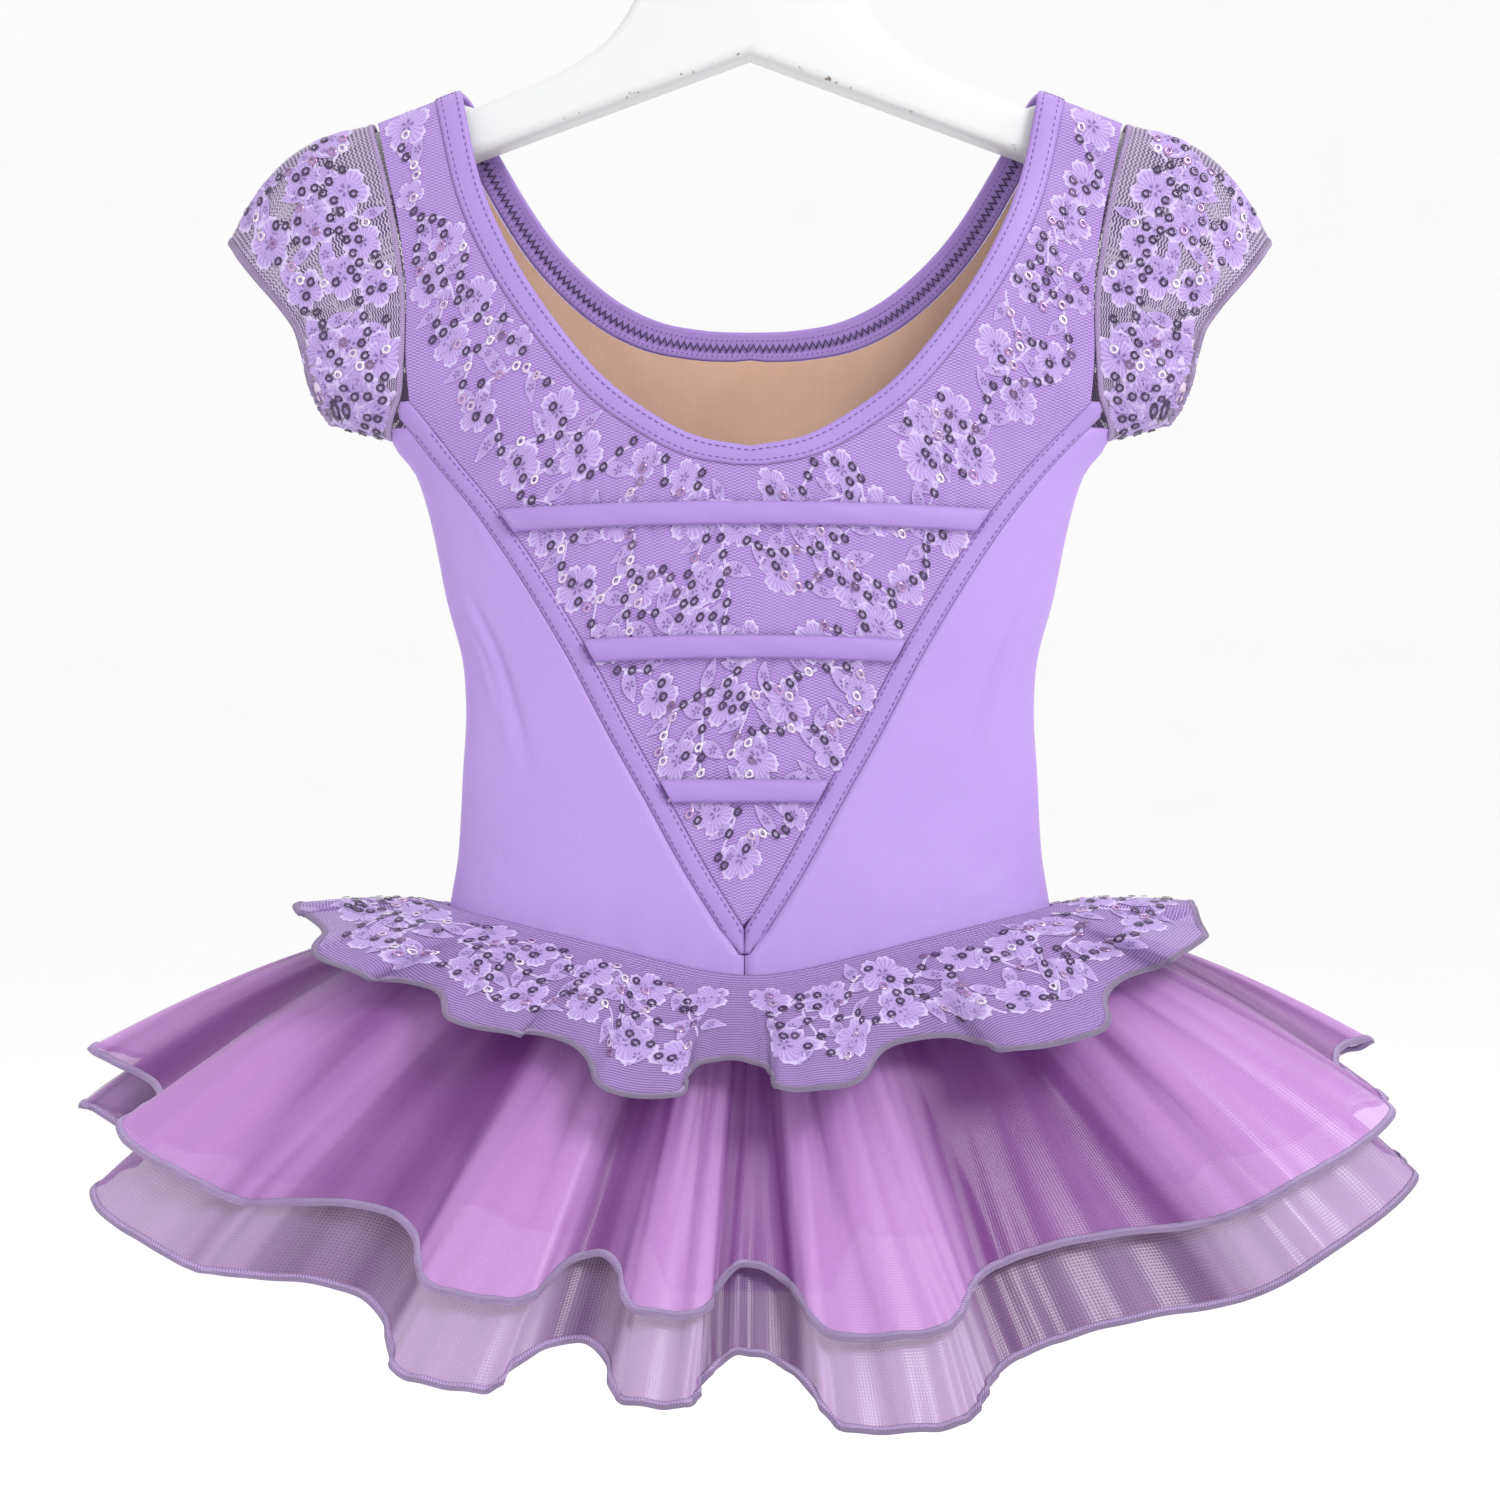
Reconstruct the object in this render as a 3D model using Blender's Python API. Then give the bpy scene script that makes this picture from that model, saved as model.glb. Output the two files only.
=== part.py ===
"""A child's ballet leotard with a lace yoke and a gathered organza skirt, on a wooden hanger.

Sizes are millimetres until a mesh is made. X is across the garment, the front faces -Y, Z is up,
and the origin is where a rail touches the inside of the hanger's hook.
"""

import math

import bmesh
import bpy
import numpy as np

MM = 0.001

# Walls and seams
SEAM_GAP = 0.3
SIDE_GAP = 0.45
RIDGE_GAP = 0.5
KNIT_WALL = 1.2
LACE_WALL = 1.2
LINING_WALL = 1.0
BAND_WALL = 1.8
STRAP_WALL = 2.2
ORGANZA_WALL = 1.0

# Shoulders: the cloth goes over the hanger's arms in a round fold
SHOULDER_PEAK = -81.5
SHOULDER_SLOPE = 0.385
SHOULDER_RADIUS = 10.0
SHOULDER_FALL = 70.0
ARMHOLE_TOP_X = 137.0
UNDERARM_HEIGHT = -249.5
ARMHOLE_OPENING = 0.62
ARMHOLE_RISE = 30.0

# Body and brief
LEG_TOP_HEIGHT = -478.0
CROTCH_HEIGHT = -562.0
CROTCH_RADIUS = 7.0
CROTCH_FOLD_HEIGHT = -537.0
CROTCH_GAP = 0.05

# Front yoke, strips and straps
FRONT_LEAN = -2.0
LEAN_RISE = 25.0
YOKE_ARMHOLE_HEIGHTS = (-150.0, -172.0, -196.0, -220.0)
STRIP_TOP_HEIGHT = -237.5
V_TIP_HEIGHT = -427.0
V_TIP_GAP = 0.8
STRIP_LEVEL_WIDTH = 8.2
STRIP_TIP_HEIGHT = -438.0
STRIP_TAPER = 12.0
STRIP_LEAST_WIDTH = 1.4
STRIP_CORNER_WIDTH = 0.8
STRIP_SIDE_GAP = 0.4
STRIP_TIP_DROPS = (3.0, 9.0)
STRIP_PROFILE = ((0.0, 0.1), (0.5, 0.5), (1.0, 0.1))
PANEL_TOP_HEIGHT = -246.5
PANEL_SEAM_DROP = 16.0
PANEL_SEAM_MEETING = 3.0
STRAP_WIDTH = 7.0
STRAP_END_GAP = 0.6
STRAP_STAND_OFF = 0.5
STRAP_PROFILE = ((-0.5, 0.0), (-0.25, 0.5), (0.25, 0.5), (0.5, 0.0))

# Neck binding and lining. A profile's rows are the share of the width and the height there
BAND_WIDTH_SHOULDER = 8.8
BAND_WIDTH_FRONT = 6.0
BAND_WIDTH_BACK = 10.2
BAND_PROFILE = ((0.0, 0.0), (0.5, 0.45), (1.0, 0.3))
LINING_ROWS = 11
LINING_SIDE_COLUMNS = 4
LINING_TOP_SHARE = 0.2

# How finely each piece is stepped
NECK_STEPS = 14
NECK_CROWDING = 1.2
ARMHOLE_STEPS = 5
ARMHOLE_CROWDING = 1.6
YOKE_ROWS = 7
SHOULDER_STEPS = 2
BACK_UPPER_ROWS = 8
PANEL_COLUMNS = 7
ROW_SPACING = 24.0
LEG_ROWS = 5
STRAP_COLUMNS_ACROSS = 10
SLEEVE_AROUND = 40
SLEEVE_ALONG = 4
SKIRT_AROUND = 120
SKIRT_ALONG = 4
RUFFLE_AROUND = 119
RUFFLE_ALONG = 3
HOOK_STEPS = 32

# Sleeves
CUFF_HALF_DEPTH = 15.0
SLEEVE_TOP_BULGE = 9.5
SLEEVE_OUT_BULGE = 4.75
SLEEVE_SIDE_BULGE = 3.0
CUFF_GATHERS = 12
CUFF_GATHER_HEIGHT = 1.3

# Skirt and peplum ruffle
SEAM_SIDE_HEIGHT = -420.6
SEAM_FRONT_DIP = 23.0
SEAM_BACK_DIP = 6.0
UPPER_STEP = 4.0
LOWER_STEP = 8.0
HEM_CENTRE_X = -2.5
HEM_HALF_WIDTH = 229.0
HEM_HALF_DEPTH = 92.0
SKIRT_BEND_OUT_SIDE = 0.45
SKIRT_BEND_OUT_FRONT = 0.36
SKIRT_BEND_DOWN_SIDE = 0.2
SKIRT_BEND_DOWN_FRONT = 0.42
FRONT_CROWDING = 0.25
FOLD_GROWTH = 1.25
FOLD_LIFT_SIDE = 0.3
FOLD_LIFT_FRONT = -0.75
FOLD_VALLEY_POWER = 1.6
LAYER_GAP = 3.6
LAYER_MEETING_SHARE = 0.3
LOWER_REACH_SIDE = 1.04
LOWER_REACH_FRONT = 1.18
LOWER_DROP_SIDE = 15.0
LOWER_DROP_FRONT = 4.0
RUFFLE_REST = 1.5
RUFFLE_LIFT = 8.0
RUFFLE_REST_SHARE = 0.25
RUFFLE_GROWTH = 1.1
RUFFLE_DIP = 7.0

# Hanger
HANGER_THICK = 14.0
HANGER_EDGE = 4.0
HANGER_UNDER_CLOTH = 3.2
HANGER_COVERED_X = (108.0, 126.0, 142.0)
HANGER_TIP_CUT = 4.0
HANGER_TIP_DROP = 10.0
HANGER_TIP_RISE = 5.0
HUMP_TOP = -58.0
NOTCH_HEIGHT = -109.5
ARM_UNDERSIDE_SLOPE = 0.37
HANGER_TIP_X = 154.0
HOOK_WIRE_RADIUS = 2.0
HOOK_INNER_RADIUS = 20.0
HOOK_HOLE_RADIUS = 2.5
HOOK_SOCKET_DEPTH = 16.0
HOOK_SOCKET_GAP = 0.4
HOOK_TURNS = range(-40, 206, 15)

# Half width to the armhole seam or side seam, and half depth, at each height of the body
BODY_COLUMNS = ("height", "half_width", "half_depth")
BODY_SECTIONS = [
    (-134.0, 137.0, 16.0),
    (-157.0, 131.0, 19.0),
    (-180.0, 126.5, 22.0),
    (-205.0, 124.0, 24.0),
    (-233.0, 125.5, 24.5),
    (-249.5, 131.0, 24.0),
    (-262.0, 122.5, 24.0),
    (-277.0, 117.5, 24.0),
    (-308.0, 111.0, 23.5),
    (-335.0, 104.5, 22.0),
    (-350.0, 103.8, 21.5),
    (-372.0, 105.0, 22.0),
    (-400.0, 106.5, 24.0),
    (-420.0, 109.5, 26.0),
    (-445.0, 113.0, 27.0),
    (-478.0, 113.0, 26.0),
    (-505.0, 113.0, 21.0),
    (-535.0, 113.0, 14.0),
    (-562.0, 113.0, 9.0),
]

# Half width of the brief's cloth between the leg openings
LEG_COLUMNS = ("height", "half_width")
LEG_SECTIONS = [
    (-478.0, 113.0),
    (-490.0, 91.0),
    (-508.0, 66.0),
    (-528.0, 46.0),
    (-548.0, 34.0),
    (-562.0, 30.0),
]

# Half width of the lace yoke between the two strips
V_COLUMNS = ("height", "half_width")
V_SECTIONS = [
    (-236.0, 124.5),
    (-252.5, 109.5),
    (-281.5, 85.5),
    (-327.0, 56.5),
    (-358.0, 40.0),
    (-381.0, 27.0),
    (-408.0, 12.0),
    (-427.0, 0.0),
]

# Inner edge of the neck binding from the shoulder to the centre, in front and behind
NECK_COLUMNS = ("half_width", "height")
NECK_FRONT = [
    (106.5, -122.5),
    (98.5, -155.0),
    (88.0, -181.0),
    (74.5, -203.5),
    (56.0, -227.0),
    (39.0, -241.0),
    (20.0, -251.5),
    (0.0, -255.5),
]
NECK_BACK = [
    (106.5, -122.5),
    (92.5, -144.0),
    (75.0, -171.0),
    (55.0, -190.5),
    (36.0, -201.0),
    (17.0, -204.8),
    (0.0, -205.5),
]

# Front edge of the cuff, from its top to its underside
CUFF_COLUMNS = ("height", "reach")
CUFF_SECTIONS = [
    (-177.7, 191.0),
    (-190.5, 181.0),
    (-204.0, 169.0),
    (-214.0, 162.5),
    (-226.0, 160.0),
    (-237.0, 157.0),
    (-243.6, 153.5),
]

STRAP_COLUMNS = ("name", "end_height", "middle_height")
STRAPS = [
    ("strap_upper", -281.0, -279.0),
    ("strap_middle", -328.0, -326.5),
    ("strap_lower", -378.5, -378.3),
]

# Height of the upper layer's hem round the skirt, before its folds
HEM_COLUMNS = ("angle", "height")
HEM_HEIGHTS = [
    (-180.0, -541.0),
    (-136.0, -524.0),
    (-112.0, -500.0),
    (-90.0, -476.0),
    (-75.0, -490.0),
    (-66.0, -503.0),
    (-57.0, -517.0),
    (-45.0, -527.0),
    (-20.0, -538.0),
    (10.0, -542.0),
    (38.0, -540.0),
    (52.0, -528.0),
    (66.0, -505.0),
    (79.0, -485.0),
    (90.0, -471.0),
    (112.0, -497.0),
    (136.0, -524.0),
    (180.0, -541.0),
]

# Folds round the hem: the angle of each crest, in degrees from the centre front towards +X
FOLD_COLUMNS = ("angle", "height", "overlap", "lean")
SKIRT_FOLDS = [
    (-67.0, 14.0, 6.0, 0.0),
    (-34.0, 13.0, 4.0, -3.0),
    (-12.0, 8.0, 1.5, 0.0),
    (19.0, 14.0, 5.0, 4.0),
    (70.0, 14.0, 7.0, 3.0),
    (101.0, 11.0, 4.0, 0.0),
    (126.0, 12.0, 5.0, 0.0),
    (152.0, 12.0, 4.0, 2.0),
    (181.0, 12.0, 3.0, 0.0),
    (210.0, 12.0, 4.0, -2.0),
    (238.0, 12.0, 5.0, 0.0),
    (266.0, 11.0, 4.0, 0.0),
]
RUFFLE_FOLDS = [
    (-90.0, 7.0, 3.0, 0.0),
    (-69.0, 10.0, 4.0, 0.0),
    (-49.0, 7.0, 3.5, 0.0),
    (-24.0, 9.0, 4.0, 2.0),
    (17.0, 10.0, 4.0, -1.0),
    (53.0, 11.0, 5.0, 0.0),
    (77.0, 8.0, 4.0, 0.0),
    (99.0, 6.5, 3.0, 0.0),
    (123.0, 7.0, 3.5, 0.0),
    (149.0, 7.5, 3.5, 0.0),
    (176.0, 7.5, 3.5, 0.0),
    (203.0, 7.5, 3.5, 0.0),
    (228.0, 7.0, 2.5, 0.0),
    (250.0, 6.5, 2.0, 0.0),
]

# Length of the ruffle round the body, as a share of the upper layer's length
LENGTH_COLUMNS = ("angle", "share")
RUFFLE_LENGTHS = [
    (-180.0, 0.42),
    (-90.0, 0.4),
    (-68.0, 0.44),
    (-48.0, 0.42),
    (-24.0, 0.52),
    (-4.0, 0.42),
    (17.0, 0.47),
    (36.0, 0.42),
    (54.0, 0.5),
    (78.0, 0.44),
    (180.0, 0.42),
]

# Top edge of one hanger arm, from the hump to where the cloth covers it
HANGER_COLUMNS = ("out", "height")
HANGER_TOP = [
    (14.0, -58.0),
    (30.0, -64.0),
    (39.0, -76.0),
    (43.0, -90.0),
    (53.0, -104.0),
    (70.0, -115.5),
    (90.0, -124.0),
    (101.0, -128.5),
]

# Red, green, blue, roughness and metallic value of each material
FINISH_COLUMNS = ("red", "green", "blue", "roughness", "metallic")
FINISHES = {
    "lavender_knit": (0.55, 0.36, 0.82, 0.55, 0.0),
    "lavender_binding": (0.50, 0.33, 0.78, 0.5, 0.0),
    "sequin_lace": (0.52, 0.42, 0.75, 0.75, 0.0),
    "nude_lining": (0.58, 0.36, 0.22, 0.7, 0.0),
    "orchid_organza": (0.58, 0.28, 0.65, 0.4, 0.0),
    "white_painted_wood": (0.85, 0.86, 0.87, 0.35, 0.0),
    "chromed_steel": (0.75, 0.75, 0.76, 0.2, 1.0),
}


def clear_scene():
    for leftover in list(bpy.data.objects):
        bpy.data.objects.remove(leftover, do_unlink=True)


def finish(name):
    """The Principled material of one finish."""
    found = bpy.data.materials.get(name)
    if found:
        return found
    values = dict(zip(FINISH_COLUMNS, FINISHES[name]))
    material = bpy.data.materials.new(name)
    material.use_nodes = True
    shader = material.node_tree.nodes["Principled BSDF"]
    shader.inputs["Base Color"].default_value = (values["red"], values["green"], values["blue"], 1.0)
    shader.inputs["Roughness"].default_value = values["roughness"]
    shader.inputs["Metallic"].default_value = values["metallic"]
    return material


def column(rows, columns, name):
    return [row[columns.index(name)] for row in rows]


def smooth(places, values, at):
    """Reads a smooth curve through the values, which never swings past them."""
    order = np.argsort(places)
    xs = np.asarray(places, float)[order]
    ys = np.asarray(values, float)[order]
    at = min(max(at, xs[0]), xs[-1])
    steps = np.diff(xs)
    slopes = np.diff(ys) / steps
    tangents = np.zeros(len(xs))
    tangents[0], tangents[-1] = slopes[0], slopes[-1]
    for i in range(1, len(xs) - 1):
        before, after = slopes[i - 1], slopes[i]
        if before * after > 0:
            near, far = 2 * steps[i] + steps[i - 1], steps[i] + 2 * steps[i - 1]
            tangents[i] = (near + far) / (near / before + far / after)
    i = min(int(np.searchsorted(xs, at, side="right")) - 1, len(steps) - 1)
    i = max(i, 0)
    share = (at - xs[i]) / steps[i]
    return float(
        ys[i] * (1 + 2 * share) * (1 - share) ** 2
        + tangents[i] * steps[i] * share * (1 - share) ** 2
        + ys[i + 1] * share**2 * (3 - 2 * share)
        + tangents[i + 1] * steps[i] * share**2 * (share - 1)
    )


def table(rows, columns, along, wanted):
    """A function that reads one column of a table at a place along another."""
    places, values = column(rows, columns, along), column(rows, columns, wanted)
    return lambda at: smooth(places, values, at)


body_half_width = table(BODY_SECTIONS, BODY_COLUMNS, "height", "half_width")
body_half_depth = table(BODY_SECTIONS, BODY_COLUMNS, "height", "half_depth")
leg_half_width = table(LEG_SECTIONS, LEG_COLUMNS, "height", "half_width")
v_half_width = table(V_SECTIONS, V_COLUMNS, "height", "half_width")
cuff_reach = table(CUFF_SECTIONS, CUFF_COLUMNS, "height", "reach")


def ease(share):
    share = min(max(share, 0.0), 1.0)
    return share * share * (3 - 2 * share)


def mix(start, end, share):
    return np.asarray(start, float) * (1 - share) + np.asarray(end, float) * share


def shoulder_line(x):
    return SHOULDER_PEAK - SHOULDER_SLOPE * abs(x)


def edge_cosine(z):
    """Share of the body's depth that is left at the armhole seam. It is 0 on the side seam."""
    rise = (z - UNDERARM_HEIGHT) / ARMHOLE_RISE
    return ARMHOLE_OPENING * math.sin(math.pi / 2 * math.sqrt(min(max(rise, 0.0), 1.0)))


def spread(z):
    """Half width of the ellipse that the section at this height is part of."""
    return body_half_width(z) / math.sqrt(1 - edge_cosine(z) ** 2)


def depth(x, z):
    """How far the body's cloth stands in front of or behind the middle plane."""
    drop = max(shoulder_line(x) - z, 0.0)
    across = min(abs(x) / spread(z), 1.0)
    body = body_half_depth(z) * math.sqrt(1 - across**2)
    turned = min(drop / SHOULDER_RADIUS, 1.0)
    shoulder = SHOULDER_RADIUS * math.sqrt(1 - (1 - turned) ** 2)
    share = ease(drop / SHOULDER_FALL)
    lift = min(max(z - CROTCH_HEIGHT, 0.0) / CROTCH_RADIUS, 1.0)
    return (shoulder * (1 - share) + body * share) * math.sqrt(1 - (1 - lift) ** 2)


def drop_of(run):
    """Height lost after a run of cloth down from the top of the shoulder."""
    bend = math.pi / 2 * SHOULDER_RADIUS
    if run < bend:
        return SHOULDER_RADIUS * (1 - math.cos(run / SHOULDER_RADIUS))
    return SHOULDER_RADIUS + run - bend


def run_of(drop):
    if drop < SHOULDER_RADIUS:
        return SHOULDER_RADIUS * math.acos(1 - max(drop, 0.0) / SHOULDER_RADIUS)
    return drop - SHOULDER_RADIUS + math.pi / 2 * SHOULDER_RADIUS


def cloth_place(x, z):
    """(x, run) of a place on the cloth, which are smooth over the shoulder."""
    return np.array([x, run_of(shoulder_line(x) - z)])


def bare_cloth(x, run):
    """Point of the cloth's middle at (x, run). A run below 0 is behind the shoulder."""
    facing = -1.0 if run >= 0 else 1.0
    z = shoulder_line(x) - drop_of(abs(run))
    return np.array([x, facing * depth(x, z), z])


def on_cloth(place, out=0.0):
    """Point at (x, run), moved out from the cloth along its normal."""
    x, run = place
    point = bare_cloth(x, run)
    if out == 0.0:
        return point
    small = 0.2
    across = bare_cloth(x + small, run) - bare_cloth(x - small, run)
    along = bare_cloth(x, run + small) - bare_cloth(x, run - small)
    normal = np.cross(along, across)
    return point + out * normal / np.linalg.norm(normal)


def on_section(angle, z, facing, out=0.0):
    """Point of the body at an angle from the centre line, where the section is an ellipse."""
    x = spread(z) * math.sin(angle)
    y = depth(x, z)
    return (x + out * math.sin(angle), facing * (y + out * math.cos(angle)), z)


def through(points, count, crowding=1.0):
    """Points on a smooth curve through the given ones, closer together at its start if crowded."""
    points = [np.asarray(point, float) for point in points]
    padded = [2 * points[0] - points[1], *points, 2 * points[-1] - points[-2]]
    fine = []
    steps = 12
    for before, start, end, after in zip(padded, padded[1:], padded[2:], padded[3:]):
        for i in range(steps):
            t = i / steps
            fine.append(
                0.5
                * (
                    2 * start
                    + (end - before) * t
                    + (2 * before - 5 * start + 4 * end - after) * t**2
                    + (3 * start - before - 3 * end + after) * t**3
                )
            )
    fine.append(points[-1])
    fine = np.array(fine)
    lengths = np.concatenate([[0.0], np.cumsum(np.linalg.norm(np.diff(fine, axis=0), axis=1))])
    wanted = lengths[-1] * np.linspace(0.0, 1.0, count + 1) ** crowding
    return np.stack([np.interp(wanted, lengths, fine[:, k]) for k in range(fine.shape[1])], axis=1)


def cloth(name, rows, wall, material, closed=False):
    """A wall of cloth whose middle runs through a grid of points, a list for each row."""
    mesh = bpy.data.meshes.new(name)
    grid = bmesh.new()
    corners = [[grid.verts.new([value * MM for value in point]) for point in row] for row in rows]
    for upper, lower in zip(corners, corners[1:]):
        last = len(upper) if closed else len(upper) - 1
        for i in range(last):
            j = (i + 1) % len(upper)
            grid.faces.new((upper[i], upper[j], lower[j], lower[i]))
    grid.to_mesh(mesh)
    grid.free()
    piece = bpy.data.objects.new(name, mesh)
    bpy.context.scene.collection.objects.link(piece)
    thickness = piece.modifiers.new("wall", "SOLIDIFY")
    thickness.thickness = wall * MM
    thickness.offset = 0.0
    mesh.materials.append(finish(material))
    mesh.shade_smooth()
    return piece


def mirrored_place(place):
    return np.array([-place[0], place[1]])


def both_sides(half):
    """A line from one shoulder to the other, from its half on the +X side."""
    left = [mirrored_place(place) for place in half]
    return left + list(half[::-1])[1:]


def neck_half(rows, count):
    """Inner edge of the neck binding on the +X side, from the shoulder to the centre."""
    half_widths = column(rows, NECK_COLUMNS, "half_width")
    heights = column(rows, NECK_COLUMNS, "height")
    places = [cloth_place(x, z) for x, z in zip(half_widths, heights)]
    places[0] = np.array([half_widths[0], 0.0])
    return through(places, count, NECK_CROWDING)


def widened(line, width_start, width_end):
    """The line moved sideways, away from the neck, by a width that changes along it."""
    moved = []
    last = len(line) - 1
    for i, place in enumerate(line):
        along = line[min(i + 1, last)] - line[max(i - 1, 0)]
        if i == 0:
            along = np.array([0.0, 1.0])
        if i == last:
            along = np.array([-1.0, 0.0])
        away = np.array([along[1], -along[0]]) / np.linalg.norm(along)
        width = width_start + (width_end - width_start) * ease(i / last)
        moved.append(place + away * width)
    return np.array(moved)


def neck_lines(count, extra=0.0):
    """Front and back edges of the neck binding on the +X side: inner and outer, with extra width."""
    front = neck_half(NECK_FRONT, count)
    back = neck_half(NECK_BACK, count)
    front_outer = widened(front, BAND_WIDTH_SHOULDER + extra, BAND_WIDTH_FRONT + extra)
    back_outer = widened(back, BAND_WIDTH_SHOULDER + extra, BAND_WIDTH_BACK + extra)
    return front, front_outer, back, back_outer


def around(front_half, back_half):
    """A closed line round the neck from its front and back halves. It starts on the +X shoulder."""
    behind = [np.array([place[0], -place[1]]) for place in back_half]
    front_left = [mirrored_place(place) for place in front_half[::-1]]
    back_left = [mirrored_place(place) for place in behind[::-1]]
    return list(front_half) + front_left[1:] + back_left[::-1][1:] + behind[::-1][1:-1]


def make_neck_binding():
    front, front_outer, back, back_outer = neck_lines(NECK_STEPS)
    inner, outer = around(front, back), around(front_outer, back_outer)
    rows = []
    for share, out in BAND_PROFILE:
        rows.append([on_cloth(mix(a, b, share), out) for a, b in zip(inner, outer)])
    cloth("neck_binding", rows, BAND_WALL, "lavender_binding", closed=True)


def lean(z):
    """How far the lace V hangs to one side at this height."""
    return FRONT_LEAN * ease((STRIP_TOP_HEIGHT - z) / LEAN_RISE)


def v_heights():
    """Heights at which the lace, the strips and the side panels share their edge points."""
    return np.linspace(STRIP_TOP_HEIGHT, V_TIP_HEIGHT + V_TIP_GAP, NECK_STEPS - ARMHOLE_STEPS + 1)


def make_front_yoke():
    inner = neck_lines(NECK_STEPS, SEAM_GAP)[1]
    top = np.array([ARMHOLE_TOP_X - SEAM_GAP, 0.0])
    armhole = [top]
    for z in YOKE_ARMHOLE_HEIGHTS:
        armhole.append(cloth_place(body_half_width(z) - SEAM_GAP, z))
    armhole.append(cloth_place(v_half_width(STRIP_TOP_HEIGHT), STRIP_TOP_HEIGHT))
    inner[0][1] = armhole[0][1] = RIDGE_GAP
    halves = []
    for side in (-1, 1):
        edge = [np.array([side * x, run]) for x, run in through(armhole, ARMHOLE_STEPS, ARMHOLE_CROWDING)]
        for z in v_heights()[1:]:
            edge.append(cloth_place(side * v_half_width(z) + lean(z), z))
        halves.append(edge)
    outer_line = halves[0] + halves[1][::-1][1:]
    outer_line[NECK_STEPS] = cloth_place(lean(V_TIP_HEIGHT), V_TIP_HEIGHT + V_TIP_GAP)
    inner_line = both_sides(inner)
    rows = []
    for share in np.linspace(0.0, 1.0, YOKE_ROWS + 1):
        rows.append([on_cloth(mix(near, far, share)) for near, far in zip(inner_line, outer_line)])
    cloth("front_yoke", rows, LACE_WALL, "sequin_lace")


def strip_edges(z, side):
    """X of the strip's two edges at this height, which narrow at the armhole and at the V's tip."""
    start = v_half_width(z) + STRIP_SIDE_GAP
    width = STRIP_LEVEL_WIDTH * ease((z - STRIP_TIP_HEIGHT) / STRIP_TAPER)
    room = body_half_width(z) - SEAM_GAP * 2 - side * lean(z)
    end = min(start + max(width, STRIP_LEAST_WIDTH), room)
    start = min(start, end - STRIP_CORNER_WIDTH)
    return side * start + lean(z), side * end + lean(z)


def make_strips():
    heights = list(v_heights()) + [V_TIP_HEIGHT - drop for drop in STRIP_TIP_DROPS]
    for name, side in (("strip_left", -1), ("strip_right", 1)):
        rows = []
        for z in heights:
            start, end = strip_edges(z, side)
            row = []
            for share, out in STRIP_PROFILE:
                row.append(on_cloth(cloth_place(start + (end - start) * share, z), out))
            rows.append(row)
        cloth(name, rows, KNIT_WALL, "lavender_binding")


def side_panel_inner(z, side):
    """X at which the side panel starts: beside the strip, then at the centre seam."""
    beside_strip = strip_edges(z, side)[1] + side * STRIP_SIDE_GAP
    at_seam = side * SEAM_GAP / 2 + lean(z)
    below = ease((V_TIP_HEIGHT - STRIP_TIP_DROPS[-1] - z) / PANEL_SEAM_MEETING)
    return beside_strip * (1 - below) + at_seam * below


def body_edge_angle(z):
    """Angle of the armhole seam, side seam or leg opening on the section at this height."""
    if z >= LEG_TOP_HEIGHT:
        half_width = body_half_width(z) - (SEAM_GAP if z > UNDERARM_HEIGHT else 0.0)
    else:
        half_width = leg_half_width(z)
    gap = SIDE_GAP / body_half_depth(z)
    return math.asin(min(half_width / spread(z), math.cos(gap)))


def brief_heights(start):
    """Heights of the rows down to the leg opening, then closer ones down to the crotch."""
    above = np.linspace(start, LEG_TOP_HEIGHT, round((start - LEG_TOP_HEIGHT) / ROW_SPACING) + 1)
    shares = np.linspace(0.0, math.pi / 2, LEG_ROWS + 1)[1:]
    fall = CROTCH_HEIGHT + CROTCH_GAP - LEG_TOP_HEIGHT
    return list(above) + [LEG_TOP_HEIGHT + fall * math.sin(share) for share in shares]


def parted(row, facing):
    """Keeps a row of the brief clear of the middle plane, where front and back meet."""
    least = SEAM_GAP / 2 + KNIT_WALL / 2
    return [(x, facing * max(abs(y), least if z < CROTCH_FOLD_HEIGHT else 0.0), z) for x, y, z in row]


def make_side_panels():
    heights = [PANEL_TOP_HEIGHT] + [z for z in v_heights() if z < PANEL_TOP_HEIGHT]
    heights += [V_TIP_HEIGHT - drop for drop in STRIP_TIP_DROPS]
    for name, side in (("front_panel_left", -1), ("front_panel_right", 1)):
        rows = []
        for z in heights + brief_heights(V_TIP_HEIGHT - PANEL_SEAM_DROP):
            outer = side * body_edge_angle(z)
            inner = math.asin(side_panel_inner(z, side) / spread(z))
            angles = np.linspace(inner, outer, PANEL_COLUMNS + 1)
            rows.append(parted([on_section(angle, z, -1) for angle in angles], -1))
        cloth(name, rows, KNIT_WALL, "lavender_knit")


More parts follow.
